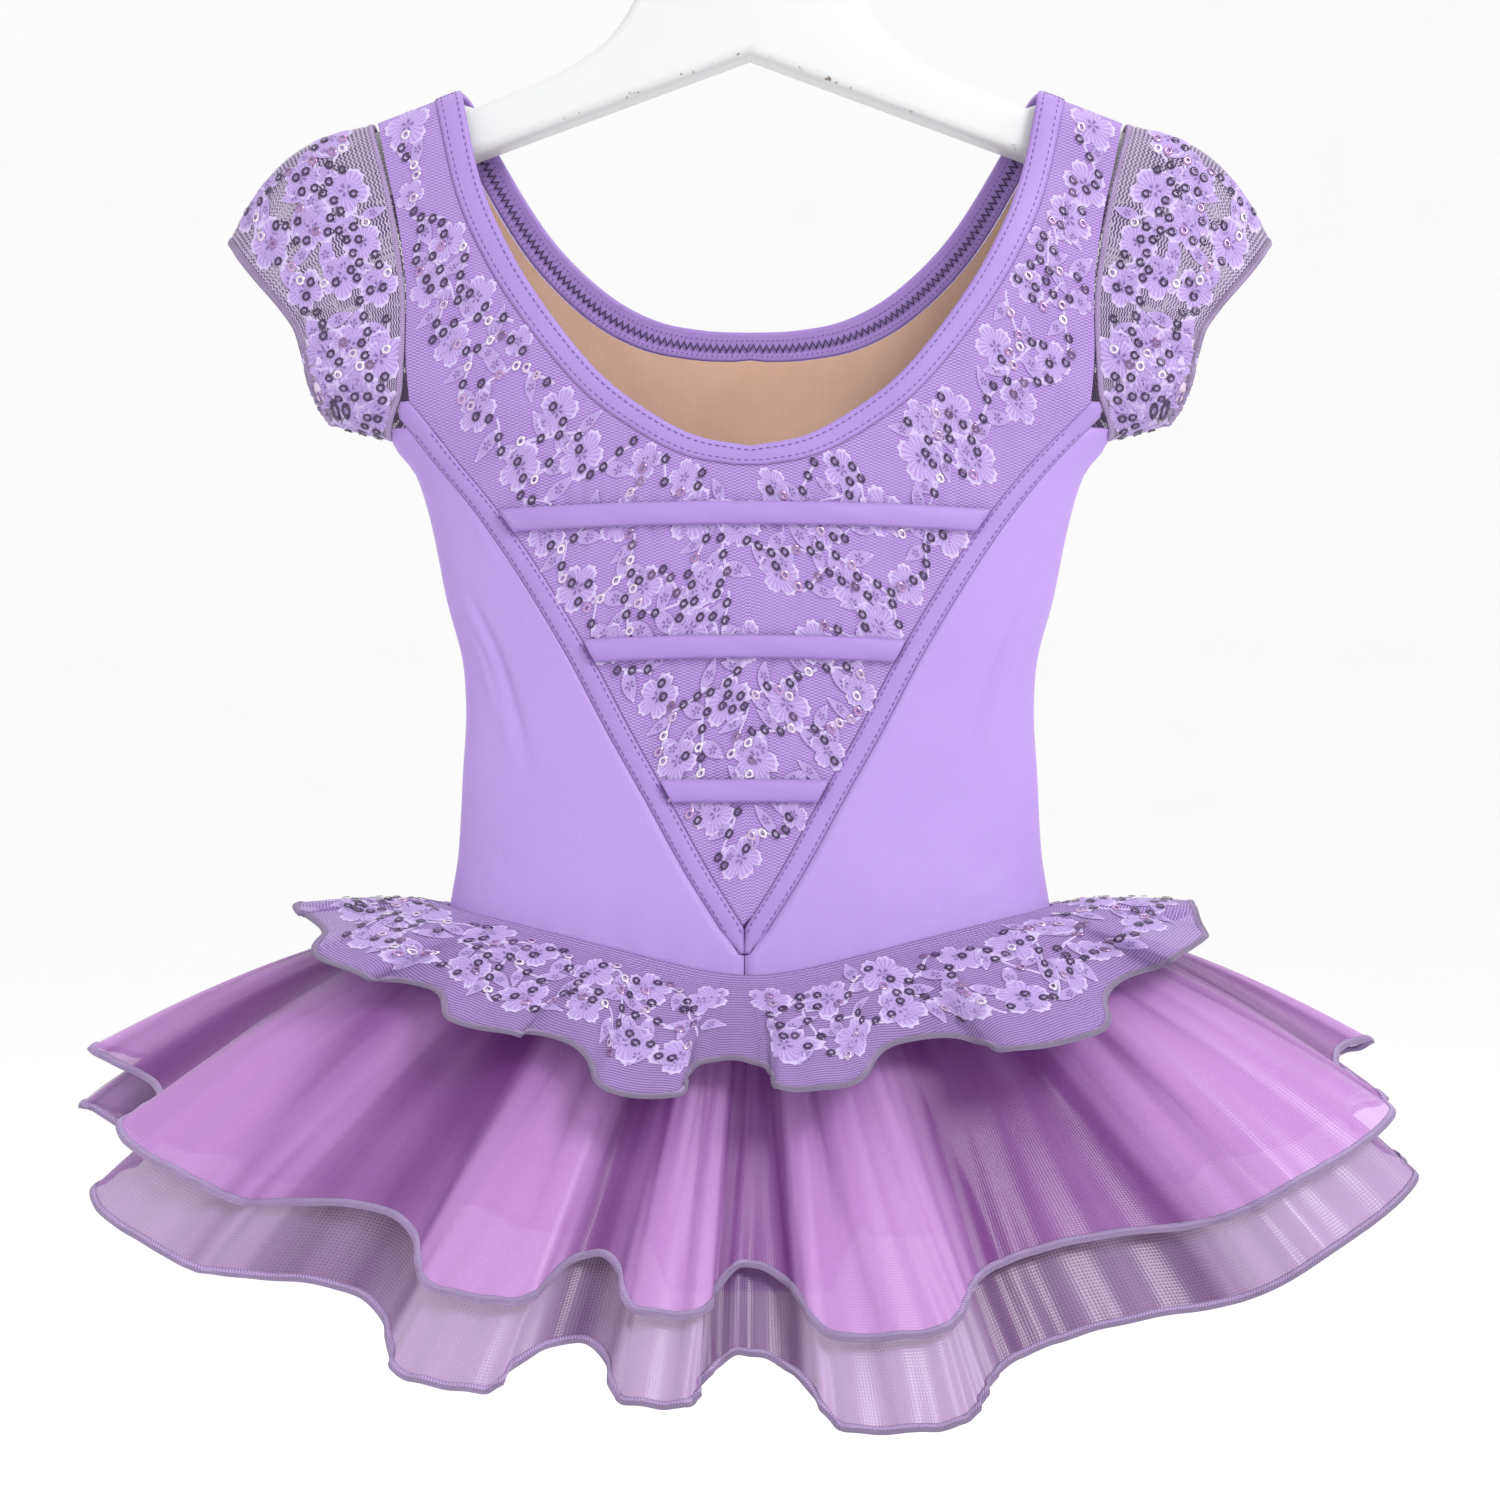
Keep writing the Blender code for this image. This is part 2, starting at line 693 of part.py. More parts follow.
def make_back_panel():
    neck = neck_lines(NECK_STEPS, SEAM_GAP)[3]
    neck[0][1] = RIDGE_GAP
    top_corner = np.array([ARMHOLE_TOP_X - SEAM_GAP, RIDGE_GAP])
    half = [mix(top_corner, neck[0], i / SHOULDER_STEPS) for i in range(SHOULDER_STEPS)] + list(neck)
    top = both_sides(np.array(half))
    level = UNDERARM_HEIGHT
    edge = body_edge_angle(level)
    angles = np.linspace(-edge, edge, len(top))
    bottom = [cloth_place(spread(level) * math.sin(angle), level) for angle in angles]
    rows = []
    for share in np.linspace(0.0, 1.0, BACK_UPPER_ROWS + 1) ** ARMHOLE_CROWDING:
        row = []
        for start, end in zip(top, bottom):
            run = mix(start, end, share)[1]
            part_start = start[0] / body_half_width(shoulder_line(start[0]) - drop_of(start[1]))
            part_end = end[0] / body_half_width(level)
            part = part_start * (1 - share) + part_end * share
            x = part * ARMHOLE_TOP_X
            for _ in range(4):
                z = shoulder_line(x) - drop_of(run)
                x = part * body_half_width(z)
            row.append(on_cloth((x, -run)))
        rows.append(row)
    for z in brief_heights(level)[1:]:
        edge = body_edge_angle(z)
        row = [on_section(angle, z, 1) for angle in np.linspace(-edge, edge, len(top))]
        rows.append(parted(row, 1))
    cloth("back_panel", rows, KNIT_WALL, "lavender_knit")
    return rows


def moved_out(rows, out):
    """A grid of points moved along its own normals. Inward is towards the middle plane."""
    points = np.array(rows)
    down = np.gradient(points, axis=0)
    across = np.gradient(points, axis=1)
    normals = np.cross(across, down)
    normals /= np.linalg.norm(normals, axis=2, keepdims=True)
    outward = np.sign((normals * points * [0.0, 1.0, 0.0]).sum(axis=2, keepdims=True))
    return points + out * normals * outward


def make_back_lining(back_rows):
    """Nude lining on the inside of the back, from the binding to below the front neckline."""
    inside = -((KNIT_WALL + LINING_WALL) / 2 + SEAM_GAP)
    rows = moved_out(back_rows, inside)[:LINING_ROWS, LINING_SIDE_COLUMNS:-LINING_SIDE_COLUMNS]
    rows[0] = mix(rows[0], rows[1], LINING_TOP_SHARE)
    cloth("back_lining", rows, LINING_WALL, "nude_lining")


def make_straps():
    """Three narrow rolled bands across the lace, sewn in at the strips."""
    stand_off = LACE_WALL / 2 + STRAP_STAND_OFF + STRAP_WALL / 2
    for strap in STRAPS:
        values = dict(zip(STRAP_COLUMNS, strap))
        rows = []
        for across, out in STRAP_PROFILE:
            row = []
            for share in np.linspace(-1.0, 1.0, STRAP_COLUMNS_ACROSS + 1):
                sag = values["end_height"] - values["middle_height"]
                z = values["middle_height"] + sag * share**2 + across * STRAP_WIDTH
                half = v_half_width(z) - STRAP_END_GAP
                row.append(on_cloth(cloth_place(half * share + lean(z), z), stand_off + out))
            rows.append(row)
        cloth(values["name"], rows, STRAP_WALL, "lavender_binding")


def armhole_ring(turn):
    """Point of the armhole seam, for a turn from 0 at the top, over the front, to the underarm."""
    top = shoulder_line(ARMHOLE_TOP_X)
    middle, half = (top + UNDERARM_HEIGHT) / 2, (top - UNDERARM_HEIGHT) / 2
    z = middle + half * math.cos(turn)
    x = body_half_width(z) + SEAM_GAP / 2
    facing = -1.0 if turn <= math.pi else 1.0
    return np.array([x, facing * depth(x - SEAM_GAP, z), z])


def cuff_ring(turn):
    top, bottom = CUFF_SECTIONS[0][0], CUFF_SECTIONS[-1][0]
    z = (top + bottom) / 2 + (top - bottom) / 2 * math.cos(turn)
    return np.array([cuff_reach(z), -CUFF_HALF_DEPTH * math.sin(turn), z])


def sleeve_point(turn, share):
    """Point of the +X sleeve, for a share of the way from the armhole to the cuff."""
    start, end = armhole_ring(turn), cuff_ring(turn)
    point = mix(start, end, share)
    swell = math.sin(math.pi * share)
    point[2] += SLEEVE_TOP_BULGE * swell * max(math.cos(turn), 0.0)
    point[0] += SLEEVE_OUT_BULGE * swell * max(math.cos(turn), 0.0)
    gather = CUFF_GATHER_HEIGHT * share**2 * math.sin(CUFF_GATHERS * turn)
    point[1] -= (SLEEVE_SIDE_BULGE * swell + gather) * math.sin(turn)
    return point


def make_sleeves():
    for name, side in (("sleeve_left", -1), ("sleeve_right", 1)):
        rows = []
        for share in np.linspace(0.0, 1.0, SLEEVE_ALONG + 1):
            row = []
            for i in range(SLEEVE_AROUND):
                x, y, z = sleeve_point(math.tau * i / SLEEVE_AROUND, share)
                row.append((side * (x + SEAM_GAP * 2), y, z))
            rows.append(row)
        cloth(name, rows, LACE_WALL, "sequin_lace", closed=True)


def section_angle(turn):
    """Angle on the body's ellipse for a turn round the skirt, closer together across the front."""
    return turn - FRONT_CROWDING * math.sin(2 * turn)


def turn_degrees(turn):
    return math.degrees(math.remainder(turn, math.tau))


def seam_point(turn, step, out):
    """Point beside the body at the skirt seam, a step further down."""
    angle = section_angle(turn)
    dip = SEAM_FRONT_DIP if math.cos(turn) > 0 else SEAM_BACK_DIP
    z = SEAM_SIDE_HEIGHT - dip * math.cos(turn) ** 2 - step
    x = (body_half_width(z) + out) * math.sin(angle)
    y = -(body_half_depth(z) + out) * math.cos(angle)
    return np.array([x, y, z])


def fold_reader(folds):
    """Phase, height, overlap and lean of the folds at a turn, from their table."""
    angles = column(folds, FOLD_COLUMNS, "angle")
    count = len(folds)
    places = [math.radians(angle - 360) for angle in angles[-2:]]
    places += [math.radians(angle) for angle in angles]
    places += [math.radians(angle + 360) for angle in angles[:2]]
    columns = [[math.tau * k for k in range(-2, count + 2)]]
    for name in FOLD_COLUMNS[1:]:
        values = column(folds, FOLD_COLUMNS, name)
        columns.append(values[-2:] + values + values[:2])

    def read(turn):
        turn = math.remainder(turn, math.tau)
        if turn < places[1]:
            turn += math.tau
        return [smooth(places, values, turn) for values in columns]

    return read


def fold_profile(phase):
    """1 on a crest and -1 in a valley, with crests wider than the valleys."""
    return 1 - 2 * ((1 - math.cos(phase)) / 2) ** FOLD_VALLEY_POWER


hem_height_at = table(HEM_HEIGHTS, HEM_COLUMNS, "angle", "height")
ruffle_length = table(RUFFLE_LENGTHS, LENGTH_COLUMNS, "angle", "share")
skirt_folds = fold_reader(SKIRT_FOLDS)
ruffle_folds = fold_reader(RUFFLE_FOLDS)


def ring_directions(turn, half_width, half_depth):
    """Unit tangent and outward direction of an ellipse seen from above."""
    angle = section_angle(turn)
    tangent = np.array([half_width * math.cos(angle), half_depth * math.sin(angle), 0.0])
    tangent /= np.linalg.norm(tangent)
    return tangent, np.array([tangent[1], -tangent[0], 0.0])


def skirt_point(turn, share, step, folded=1.0):
    """Point of a skirt layer. A share above 1 is past the upper layer's hem."""
    start = seam_point(turn, step, KNIT_WALL / 2 + SEAM_GAP + ORGANZA_WALL)
    angle = section_angle(turn)
    frontal = abs(math.cos(turn))
    hem_height = hem_height_at(turn_degrees(turn))
    end_x = HEM_CENTRE_X + HEM_HALF_WIDTH * math.sin(angle)
    end = np.array([end_x, -HEM_HALF_DEPTH * math.cos(angle), hem_height])
    bend = start.copy()
    bend[:2] += (end[:2] - start[:2]) * mix(SKIRT_BEND_OUT_SIDE, SKIRT_BEND_OUT_FRONT, frontal)
    bend[2] += (end[2] - start[2]) * mix(SKIRT_BEND_DOWN_SIDE, SKIRT_BEND_DOWN_FRONT, frontal)
    within = min(share, 1.0)
    point = start * (1 - within) ** 2 + bend * 2 * within * (1 - within) + end * within**2
    point += (share - within) * 2 * (end - bend)
    tangent, outward = ring_directions(turn, HEM_HALF_WIDTH, HEM_HALF_DEPTH)
    phase, height, overlap, lean_over = skirt_folds(turn)
    growth = folded * within**FOLD_GROWTH
    lift = np.array([0.0, 0.0, mix(FOLD_LIFT_SIDE, FOLD_LIFT_FRONT, frontal)])
    profile = fold_profile(phase)
    point += (outward + lift) * height * growth * profile
    point += tangent * growth * within * (overlap * math.sin(2 * phase) + lean_over * profile)
    return point


def skirt_inward(turn, share, folded=1.0):
    """Direction from the upper organza layer towards the layer under it."""
    small = 0.004

    def point(turn, share):
        return skirt_point(turn, share, UPPER_STEP, folded)

    across = point(turn + small, share) - point(turn - small, share)
    along = point(turn, share + small) - point(turn, max(share - small, 0.0))
    normal = np.cross(across, along)
    return normal / np.linalg.norm(normal)


def make_skirt():
    turns = [math.tau * i / SKIRT_AROUND for i in range(SKIRT_AROUND)]
    upper = []
    for share in np.linspace(0.0, 1.0, SKIRT_ALONG + 1):
        upper.append([skirt_point(turn, share, UPPER_STEP) for turn in turns])
    cloth("skirt_upper", upper, ORGANZA_WALL, "orchid_organza", closed=True)
    lower = []
    for part in np.linspace(0.0, 1.0, SKIRT_ALONG + 2):
        row = []
        for turn in turns:
            frontal = abs(math.cos(turn))
            share = part * mix(LOWER_REACH_SIDE, LOWER_REACH_FRONT, frontal)
            start = skirt_point(turn, share, LOWER_STEP)
            under = skirt_point(turn, share, UPPER_STEP) + skirt_inward(turn, share) * LAYER_GAP
            under[2] -= mix(LOWER_DROP_SIDE, LOWER_DROP_FRONT, frontal) * part**2
            near = ease(share / LAYER_MEETING_SHARE)
            row.append(start * (1 - near) + under * near)
        lower.append(row)
    cloth("skirt_lower", lower, ORGANZA_WALL, "orchid_organza", closed=True)


def ruffle_point(turn, share):
    """Point of the lace peplum, which stands out over the organza."""
    along = share * ruffle_length(turn_degrees(turn))
    phase, height, overlap, lean_over = ruffle_folds(turn)
    growth = share**RUFFLE_GROWTH
    profile = fold_profile(phase)
    rise = RUFFLE_REST + growth * (RUFFLE_LIFT + height * (1 + profile))
    point = skirt_point(turn, along, 0.0, 0.0)
    inward = skirt_inward(turn, max(along, 0.02), 0.0)
    point -= inward * rise * min(share / RUFFLE_REST_SHARE, 1.0)
    tangent = ring_directions(turn, HEM_HALF_WIDTH, HEM_HALF_DEPTH)[0]
    point[2] -= RUFFLE_DIP * growth * profile
    return point + tangent * growth * (overlap * math.sin(2 * phase) + lean_over * profile)


def make_ruffle():
    turns = [math.tau * i / RUFFLE_AROUND for i in range(RUFFLE_AROUND)]
    rows = []
    for share in np.linspace(0.0, 1.0, RUFFLE_ALONG + 1):
        rows.append([ruffle_point(turn, share) for turn in turns])
    cloth("ruffle", rows, LACE_WALL, "sequin_lace", closed=True)


def solid_object(name, mesh_maker, material):
    mesh = bpy.data.meshes.new(name)
    mesh_maker.to_mesh(mesh)
    mesh_maker.free()
    mesh.materials.append(finish(material))
    mesh.shade_smooth()
    piece = bpy.data.objects.new(name, mesh)
    bpy.context.scene.collection.objects.link(piece)
    return piece


def hanger_outline():
    """Outline of the wooden hanger in X and Z, clockwise from its hump."""
    outs = column(HANGER_TOP, HANGER_COLUMNS, "out")
    top = [tuple(place) for place in through(zip(outs, column(HANGER_TOP, HANGER_COLUMNS, "height")), 12)]
    under_cloth = [(x, shoulder_line(x) - HANGER_UNDER_CLOTH) for x in HANGER_COVERED_X]
    inner_x = HANGER_TIP_X - HANGER_TIP_CUT
    low = NOTCH_HEIGHT - ARM_UNDERSIDE_SLOPE * inner_x
    tip = [
        (inner_x, shoulder_line(inner_x) - HANGER_TIP_CUT - HANGER_UNDER_CLOTH),
        (HANGER_TIP_X, shoulder_line(HANGER_TIP_X) - HANGER_TIP_DROP),
        (HANGER_TIP_X, low + HANGER_TIP_RISE),
        (inner_x, low),
    ]
    half = top + under_cloth + tip
    left = [(-x, z) for x, z in half[::-1]]
    return half + [(0.0, NOTCH_HEIGHT)] + left


def make_hanger_body():
    maker = bmesh.new()
    corners = [maker.verts.new((x * MM, -HANGER_THICK / 2 * MM, z * MM)) for x, z in hanger_outline()]
    face = maker.faces.new(corners)
    face.normal_update()
    grown = bmesh.ops.extrude_face_region(maker, geom=[face])
    moved = [item for item in grown["geom"] if isinstance(item, bmesh.types.BMVert)]
    bmesh.ops.translate(maker, verts=moved, vec=(0.0, HANGER_THICK * MM, 0.0))
    bmesh.ops.recalc_face_normals(maker, faces=maker.faces)
    rims = [edge for edge in maker.edges if abs(edge.verts[0].co.y - edge.verts[1].co.y) < 1e-6]
    bmesh.ops.bevel(
        maker, geom=rims, offset=HANGER_EDGE * MM, segments=2, profile=0.5, affect="EDGES", material=-1
    )
    bmesh.ops.triangulate(maker, faces=[face for face in maker.faces if len(face.verts) > 4])
    body = solid_object("hanger_body", maker, "white_painted_wood")

    drill = bmesh.new()
    bmesh.ops.create_cone(
        drill,
        cap_ends=True,
        segments=16,
        radius1=HOOK_HOLE_RADIUS * MM,
        radius2=HOOK_HOLE_RADIUS * MM,
        depth=2 * HOOK_SOCKET_DEPTH * MM,
    )
    bmesh.ops.translate(drill, verts=drill.verts, vec=(0.0, 0.0, HUMP_TOP * MM))
    cutter = solid_object("hook_socket_cutter", drill, "chromed_steel")
    cutter.hide_render = True
    cutter.display_type = "WIRE"
    cut = body.modifiers.new("hook socket", "BOOLEAN")
    cut.operation = "DIFFERENCE"
    cut.object = cutter


def make_hanger_hook():
    """The bent wire: a straight stem in the wood, then round past the crest to its free end."""
    radius = HOOK_INNER_RADIUS + HOOK_WIRE_RADIUS
    middle = HOOK_WIRE_RADIUS - radius
    stem_foot = HUMP_TOP - HOOK_SOCKET_DEPTH + HOOK_SOCKET_GAP
    path = [(0.0, stem_foot), (0.0, HUMP_TOP + 1.0), (0.5, middle - radius - 4.0)]
    path += [(9.0, middle - radius + 3.5)]
    for degrees in HOOK_TURNS:
        turn = math.radians(degrees)
        path.append((radius * math.cos(turn), middle + radius * math.sin(turn)))
    route = through(path, HOOK_STEPS)
    curve = bpy.data.curves.new("hanger_hook", "CURVE")
    curve.dimensions = "3D"
    curve.bevel_depth = HOOK_WIRE_RADIUS * MM
    curve.bevel_resolution = 2
    curve.use_fill_caps = True
    spline = curve.splines.new("POLY")
    spline.points.add(len(route) - 1)
    for point, (x, z) in zip(spline.points, route):
        point.co = (x * MM, 0.0, z * MM, 1.0)
    curve.materials.append(finish("chromed_steel"))
    hook = bpy.data.objects.new("hanger_hook", curve)
    bpy.context.scene.collection.objects.link(hook)


def main():
    clear_scene()
    make_hanger_body()
    make_hanger_hook()
    make_neck_binding()
    make_front_yoke()
    make_strips()
    make_side_panels()
    make_back_lining(make_back_panel())
    make_straps()
    make_sleeves()
    make_skirt()
    make_ruffle()


main()
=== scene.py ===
import math
import random

import bmesh
import bpy
import numpy as np
from mathutils import Matrix, Vector


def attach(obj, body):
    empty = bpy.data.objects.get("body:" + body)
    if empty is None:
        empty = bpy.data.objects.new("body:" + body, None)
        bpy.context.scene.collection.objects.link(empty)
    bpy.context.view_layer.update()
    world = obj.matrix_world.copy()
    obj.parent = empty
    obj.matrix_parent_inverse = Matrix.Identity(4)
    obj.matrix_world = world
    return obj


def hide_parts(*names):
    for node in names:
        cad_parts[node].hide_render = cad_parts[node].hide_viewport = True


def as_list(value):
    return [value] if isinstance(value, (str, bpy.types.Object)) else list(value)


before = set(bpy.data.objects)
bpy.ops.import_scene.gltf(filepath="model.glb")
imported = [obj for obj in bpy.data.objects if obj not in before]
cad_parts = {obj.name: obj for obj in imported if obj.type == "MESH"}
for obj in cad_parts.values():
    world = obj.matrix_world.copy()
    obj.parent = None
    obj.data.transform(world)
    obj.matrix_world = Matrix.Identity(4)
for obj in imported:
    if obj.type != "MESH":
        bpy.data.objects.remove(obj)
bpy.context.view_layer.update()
mm = 0.001
tau = math.tau


# Curves and the body's form, in millimetres

# a smooth curve through a few values, which never swings past them
def curveThrough(places, values):
    order = np.argsort(places)
    xs, ys = np.asarray(places, float)[order], np.asarray(values, float)[order]
    steps = np.diff(xs)
    slopes = np.diff(ys) / steps
    bends = np.zeros(len(xs))
    bends[0], bends[-1] = slopes[0], slopes[-1]
    for i in range(1, len(xs) - 1):
        if slopes[i - 1] * slopes[i] > 0:
            near, far = 2 * steps[i] + steps[i - 1], steps[i] + 2 * steps[i - 1]
            bends[i] = (near + far) / (near / slopes[i - 1] + far / slopes[i])

    def read(at):
        at = np.clip(np.asarray(at, float), xs[0], xs[-1])
        i = np.clip(np.searchsorted(xs, at, side="right") - 1, 0, len(steps) - 1)
        t = (at - xs[i]) / steps[i]
        start, end = ys[i] * (1 + 2 * t) * (1 - t) ** 2, ys[i + 1] * t**2 * (3 - 2 * t)
        return start + end + steps[i] * (bends[i] * t * (1 - t) ** 2 + bends[i + 1] * t**2 * (t - 1))

    return read


# points along a smooth line through the given ones, closer together at its start if crowded
def lineThrough(points, count, crowding=1.0):
    points = np.asarray(points, float)
    padded = np.vstack([2 * points[0] - points[1], points, 2 * points[-1] - points[-2]])
    fine = []
    for a, b, c, d in zip(padded, padded[1:], padded[2:], padded[3:]):
        for t in np.linspace(0, 1, 24, endpoint=False):
            square, cube = (2 * a - 5 * b + 4 * c - d) * t**2, (3 * b - a - 3 * c + d) * t**3
            fine.append(0.5 * (2 * b + (c - a) * t + square + cube))
    fine = np.array(fine + [points[-1]])
    return spaced(fine, np.linspace(0, 1, count + 1) ** crowding)


def lengthsAlong(line):
    return np.concatenate([[0.0], np.cumsum(np.linalg.norm(np.diff(line, axis=0), axis=1))])


def spaced(line, shares):
    lengths = lengthsAlong(line)
    return np.stack([np.interp(lengths[-1] * shares, lengths, column) for column in line.T], axis=1)


def ease(share):
    share = np.clip(share, 0.0, 1.0)
    return share * share * (3 - 2 * share)


body = {
    # height, half width to the armhole or side seam, half depth
    "sections": [
        (-134, 137, 16), (-157, 131, 19), (-180, 126.5, 22), (-205, 124, 24), (-233, 125.5, 24.5),
        (-249.5, 131, 24), (-262, 122.5, 24), (-277, 117.5, 24), (-308, 111, 23.5), (-335, 104.5, 22),
        (-350, 103.8, 21.5), (-372, 105, 22), (-400, 106.5, 24), (-420, 109.5, 26), (-445, 113, 27),
        (-478, 113, 26), (-505, 113, 21), (-535, 113, 14), (-562, 113, 9),
    ],
    # height, half width of the brief between the leg openings
    "legs": [(-478, 113), (-490, 91), (-508, 66), (-528, 46), (-548, 34), (-562, 30)],
    "shoulderPeak": -81.5, "shoulderSlope": 0.385, "shoulderRadius": 10.0, "shoulderFall": 70.0,
    "armholeTop": 137.0, "underarm": -249.5, "armholeOpening": 0.62, "armholeRise": 30.0,
    "legTop": -478.0, "crotch": -562.0, "crotchRadius": 7.0, "knitWall": 1.2, "seam": 0.3,
}
bodyHeights = [row[0] for row in body["sections"]]
halfWidth = curveThrough(bodyHeights, [row[1] for row in body["sections"]])
halfDepth = curveThrough(bodyHeights, [row[2] for row in body["sections"]])
legHalfWidth = curveThrough(*zip(*body["legs"]))


def shoulderLine(x):
    return body["shoulderPeak"] - body["shoulderSlope"] * np.abs(x)


# half width of the ellipse that the section at this height is part of
def spread(z):
    rise = np.clip((z - body["underarm"]) / body["armholeRise"], 0, 1)
    opening = body["armholeOpening"] * np.sin(math.pi / 2 * np.sqrt(rise))
    return halfWidth(z) / np.sqrt(1 - opening**2)


def depth(x, z):
    drop = np.maximum(shoulderLine(x) - z, 0)
    across = np.clip(np.abs(x) / spread(z), 0, 1)
    deep = halfDepth(z) * np.sqrt(1 - across**2)
    turned = np.clip(drop / body["shoulderRadius"], 0, 1)
    shoulder = body["shoulderRadius"] * np.sqrt(1 - (1 - turned) ** 2)
    share = ease(drop / body["shoulderFall"])
    lift = np.clip((z - body["crotch"]) / body["crotchRadius"], 0, 1)
    return (shoulder * (1 - share) + deep * share) * np.sqrt(1 - (1 - lift) ** 2)


def dropOf(run):
    radius = body["shoulderRadius"]
    bent = radius * (1 - np.cos(np.clip(run / radius, 0, math.pi / 2)))
    return np.where(run < math.pi / 2 * radius, bent, radius + run - math.pi / 2 * radius)


def runOf(drop):
    radius = body["shoulderRadius"]
    bent = radius * np.arccos(1 - np.clip(drop / radius, 0, 1))
    return np.where(drop < radius, bent, drop - radius + math.pi / 2 * radius)


# a place on the cloth: x and the run down from the shoulder's top, which is below 0 behind
def place(x, z):
    x, z = np.broadcast_arrays(np.asarray(x, float), np.asarray(z, float))
    return np.stack([x, runOf(shoulderLine(x) - z)], axis=-1)


def bareCloth(x, run):
    z = shoulderLine(x) - dropOf(np.abs(run))
    return np.stack([x, np.where(run >= 0, -1.0, 1.0) * depth(x, z), z], axis=-1)


# a small step both ways on each surface, for its slopes
nearby = {"cloth": (0.2, 0.2), "sleeve": (0.01, 0.01), "skirt": (0.004, 0.004)}


# moves points of a surface out along its normal
def raised(surface, u, v, out, small=nearby["cloth"]):
    across = surface(u + small[0], v) - surface(u - small[0], v)
    along = surface(u, v + small[1]) - surface(u, v - small[1])
    normal = np.cross(along, across)
    normal /= np.maximum(np.linalg.norm(normal, axis=-1, keepdims=True), 1e-9)
    return surface(u, v) + np.asarray(out)[..., None] * normal


def onCloth(x, run, out=0.0):
    x, run, out = np.broadcast_arrays(np.asarray(x, float), np.asarray(run, float), np.asarray(out, float))
    return raised(bareCloth, x, run, out)


# a place on the body's section, at an angle from the centre line
def onSection(angle, z, facing, out=0.0):
    x = spread(z) * np.sin(angle)
    y = depth(x, z) + out * np.cos(angle)
    return np.stack(np.broadcast_arrays(x + out * np.sin(angle), facing * y, z), axis=-1)


print("form ready")


# Meshes

made = {}


def ringPlaces(count):
    return np.linspace(0, tau, count + 1)


def lengthUv(points):
    across = np.linalg.norm(np.diff(points, axis=1), axis=2).cumsum(axis=1)
    across = np.concatenate([np.zeros((len(points), 1)), across], axis=1)
    across -= across[:, across.shape[1] // 2][:, None]
    down = np.linalg.norm(np.diff(points, axis=0), axis=2).cumsum(axis=0)
    down = np.concatenate([np.zeros((1, points.shape[1])), down], axis=0)
    return np.stack([across, down], axis=-1)


# adds a grid of cloth to a bmesh: points is rows by columns in millimetres
def addGrid(bm, points, uv=None, closed=False, shade=None):
    rows, columns = points.shape[:2]
    # shade, when given, is painted shade, kept on each vertex for the finish to read
    paintedShades = None if shade is None else bm.verts.layers.float.new("foldPaintedShade")
    uv = lengthUv(points) if uv is None else uv
    layer = bm.loops.layers.uv.verify()
    grid = bmesh.ops.create_grid(bm, x_segments=columns - 1, y_segments=rows - 1, size=0.5)["verts"]
    places = {}
    for vert in grid:
        i, j = round((vert.co.x + 0.5) * (columns - 1)), round((0.5 - vert.co.y) * (rows - 1))
        places[vert] = (j, i)
        vert.co = points[j, i] * mm
        if paintedShades:
            vert[paintedShades] = shade[j, i]
    for face in {face for vert in grid for face in vert.link_faces}:
        for loop in face.loops:
            loop[layer].uv = uv[places[loop.vert]] * mm
    if closed:
        bmesh.ops.remove_doubles(bm, verts=grid, dist=1e-6)


def finished(name, bm, finish, wall=0.0, outward=True, node=None):
    if outward:
        facing = sum(face.calc_area() * face.normal.y * face.calc_center_median().y for face in bm.faces)
        if facing < 0:
            bmesh.ops.reverse_faces(bm, faces=bm.faces[:])
    mesh = bpy.data.meshes.new(name)
    bm.to_mesh(mesh)
    bm.free()
    mesh.shade_smooth()
    mesh.materials.append(finish)
    piece = bpy.data.objects.new(name, mesh)
    bpy.context.scene.collection.objects.link(piece)
    if wall:
        shell = piece.modifiers.new("wall", "SOLIDIFY")
        shell.thickness, shell.offset = wall * mm, 0.0
    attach(piece, "root")
    if node:
        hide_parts(node)
    made[name] = piece
    return piece


def clothPiece(
        name, points, finish, wall, node=None, uv=None, closed=False, outward=True, shade=None):
    bm = bmesh.new()
    addGrid(bm, points, uv, closed, shade)
    bm.normal_update()
    finished(name, bm, finish, wall, outward, node)


# a flat roll of thread round an edge: line, the way across it and the way out of the cloth
def rollPoints(line, across, out, halfWide, halfThick, sides=8):
    turns = np.linspace(0, tau, sides + 1)[:, None, None]
    return line[None] + np.cos(turns) * across[None] * halfWide + np.sin(turns) * out[None] * halfThick


def unit(vectors):
    return vectors / np.maximum(np.linalg.norm(vectors, axis=-1, keepdims=True), 1e-9)


# directions along a line and across it, for a known way out of the cloth
def frames(line, out):
    along = unit(np.gradient(line, axis=0))
    out = unit(out - (out * along).sum(-1, keepdims=True) * along)
    return along, np.cross(along, out), out


# sewing stitches along a line, each a small grain of thread
def stitches(bm, line, out, pitch, length, radius, turned=0.0):
    total = lengthsAlong(line)[-1]
    count = max(int(total / pitch), 1)
    shares = (np.arange(count) + 0.5) / count
    outs = [np.interp(shares, np.linspace(0, 1, len(out)), column) for column in out.T]
    spots = spaced(line, shares)
    along, across, outs = frames(spots, np.array(outs).T)
    for i in range(count):
        lean = turned * (1 if i % 2 else -1)
        run = along[i] * math.cos(lean) + across[i] * math.sin(lean)
        side = np.cross(outs[i], run)
        axes = np.stack([run * length / 2, side * radius, outs[i] * radius, spots[i]], axis=1) * mm
        turn = Matrix([*axes.tolist(), [0, 0, 0, 1]])
        bmesh.ops.create_icosphere(bm, subdivisions=1, radius=1.0, matrix=turn)


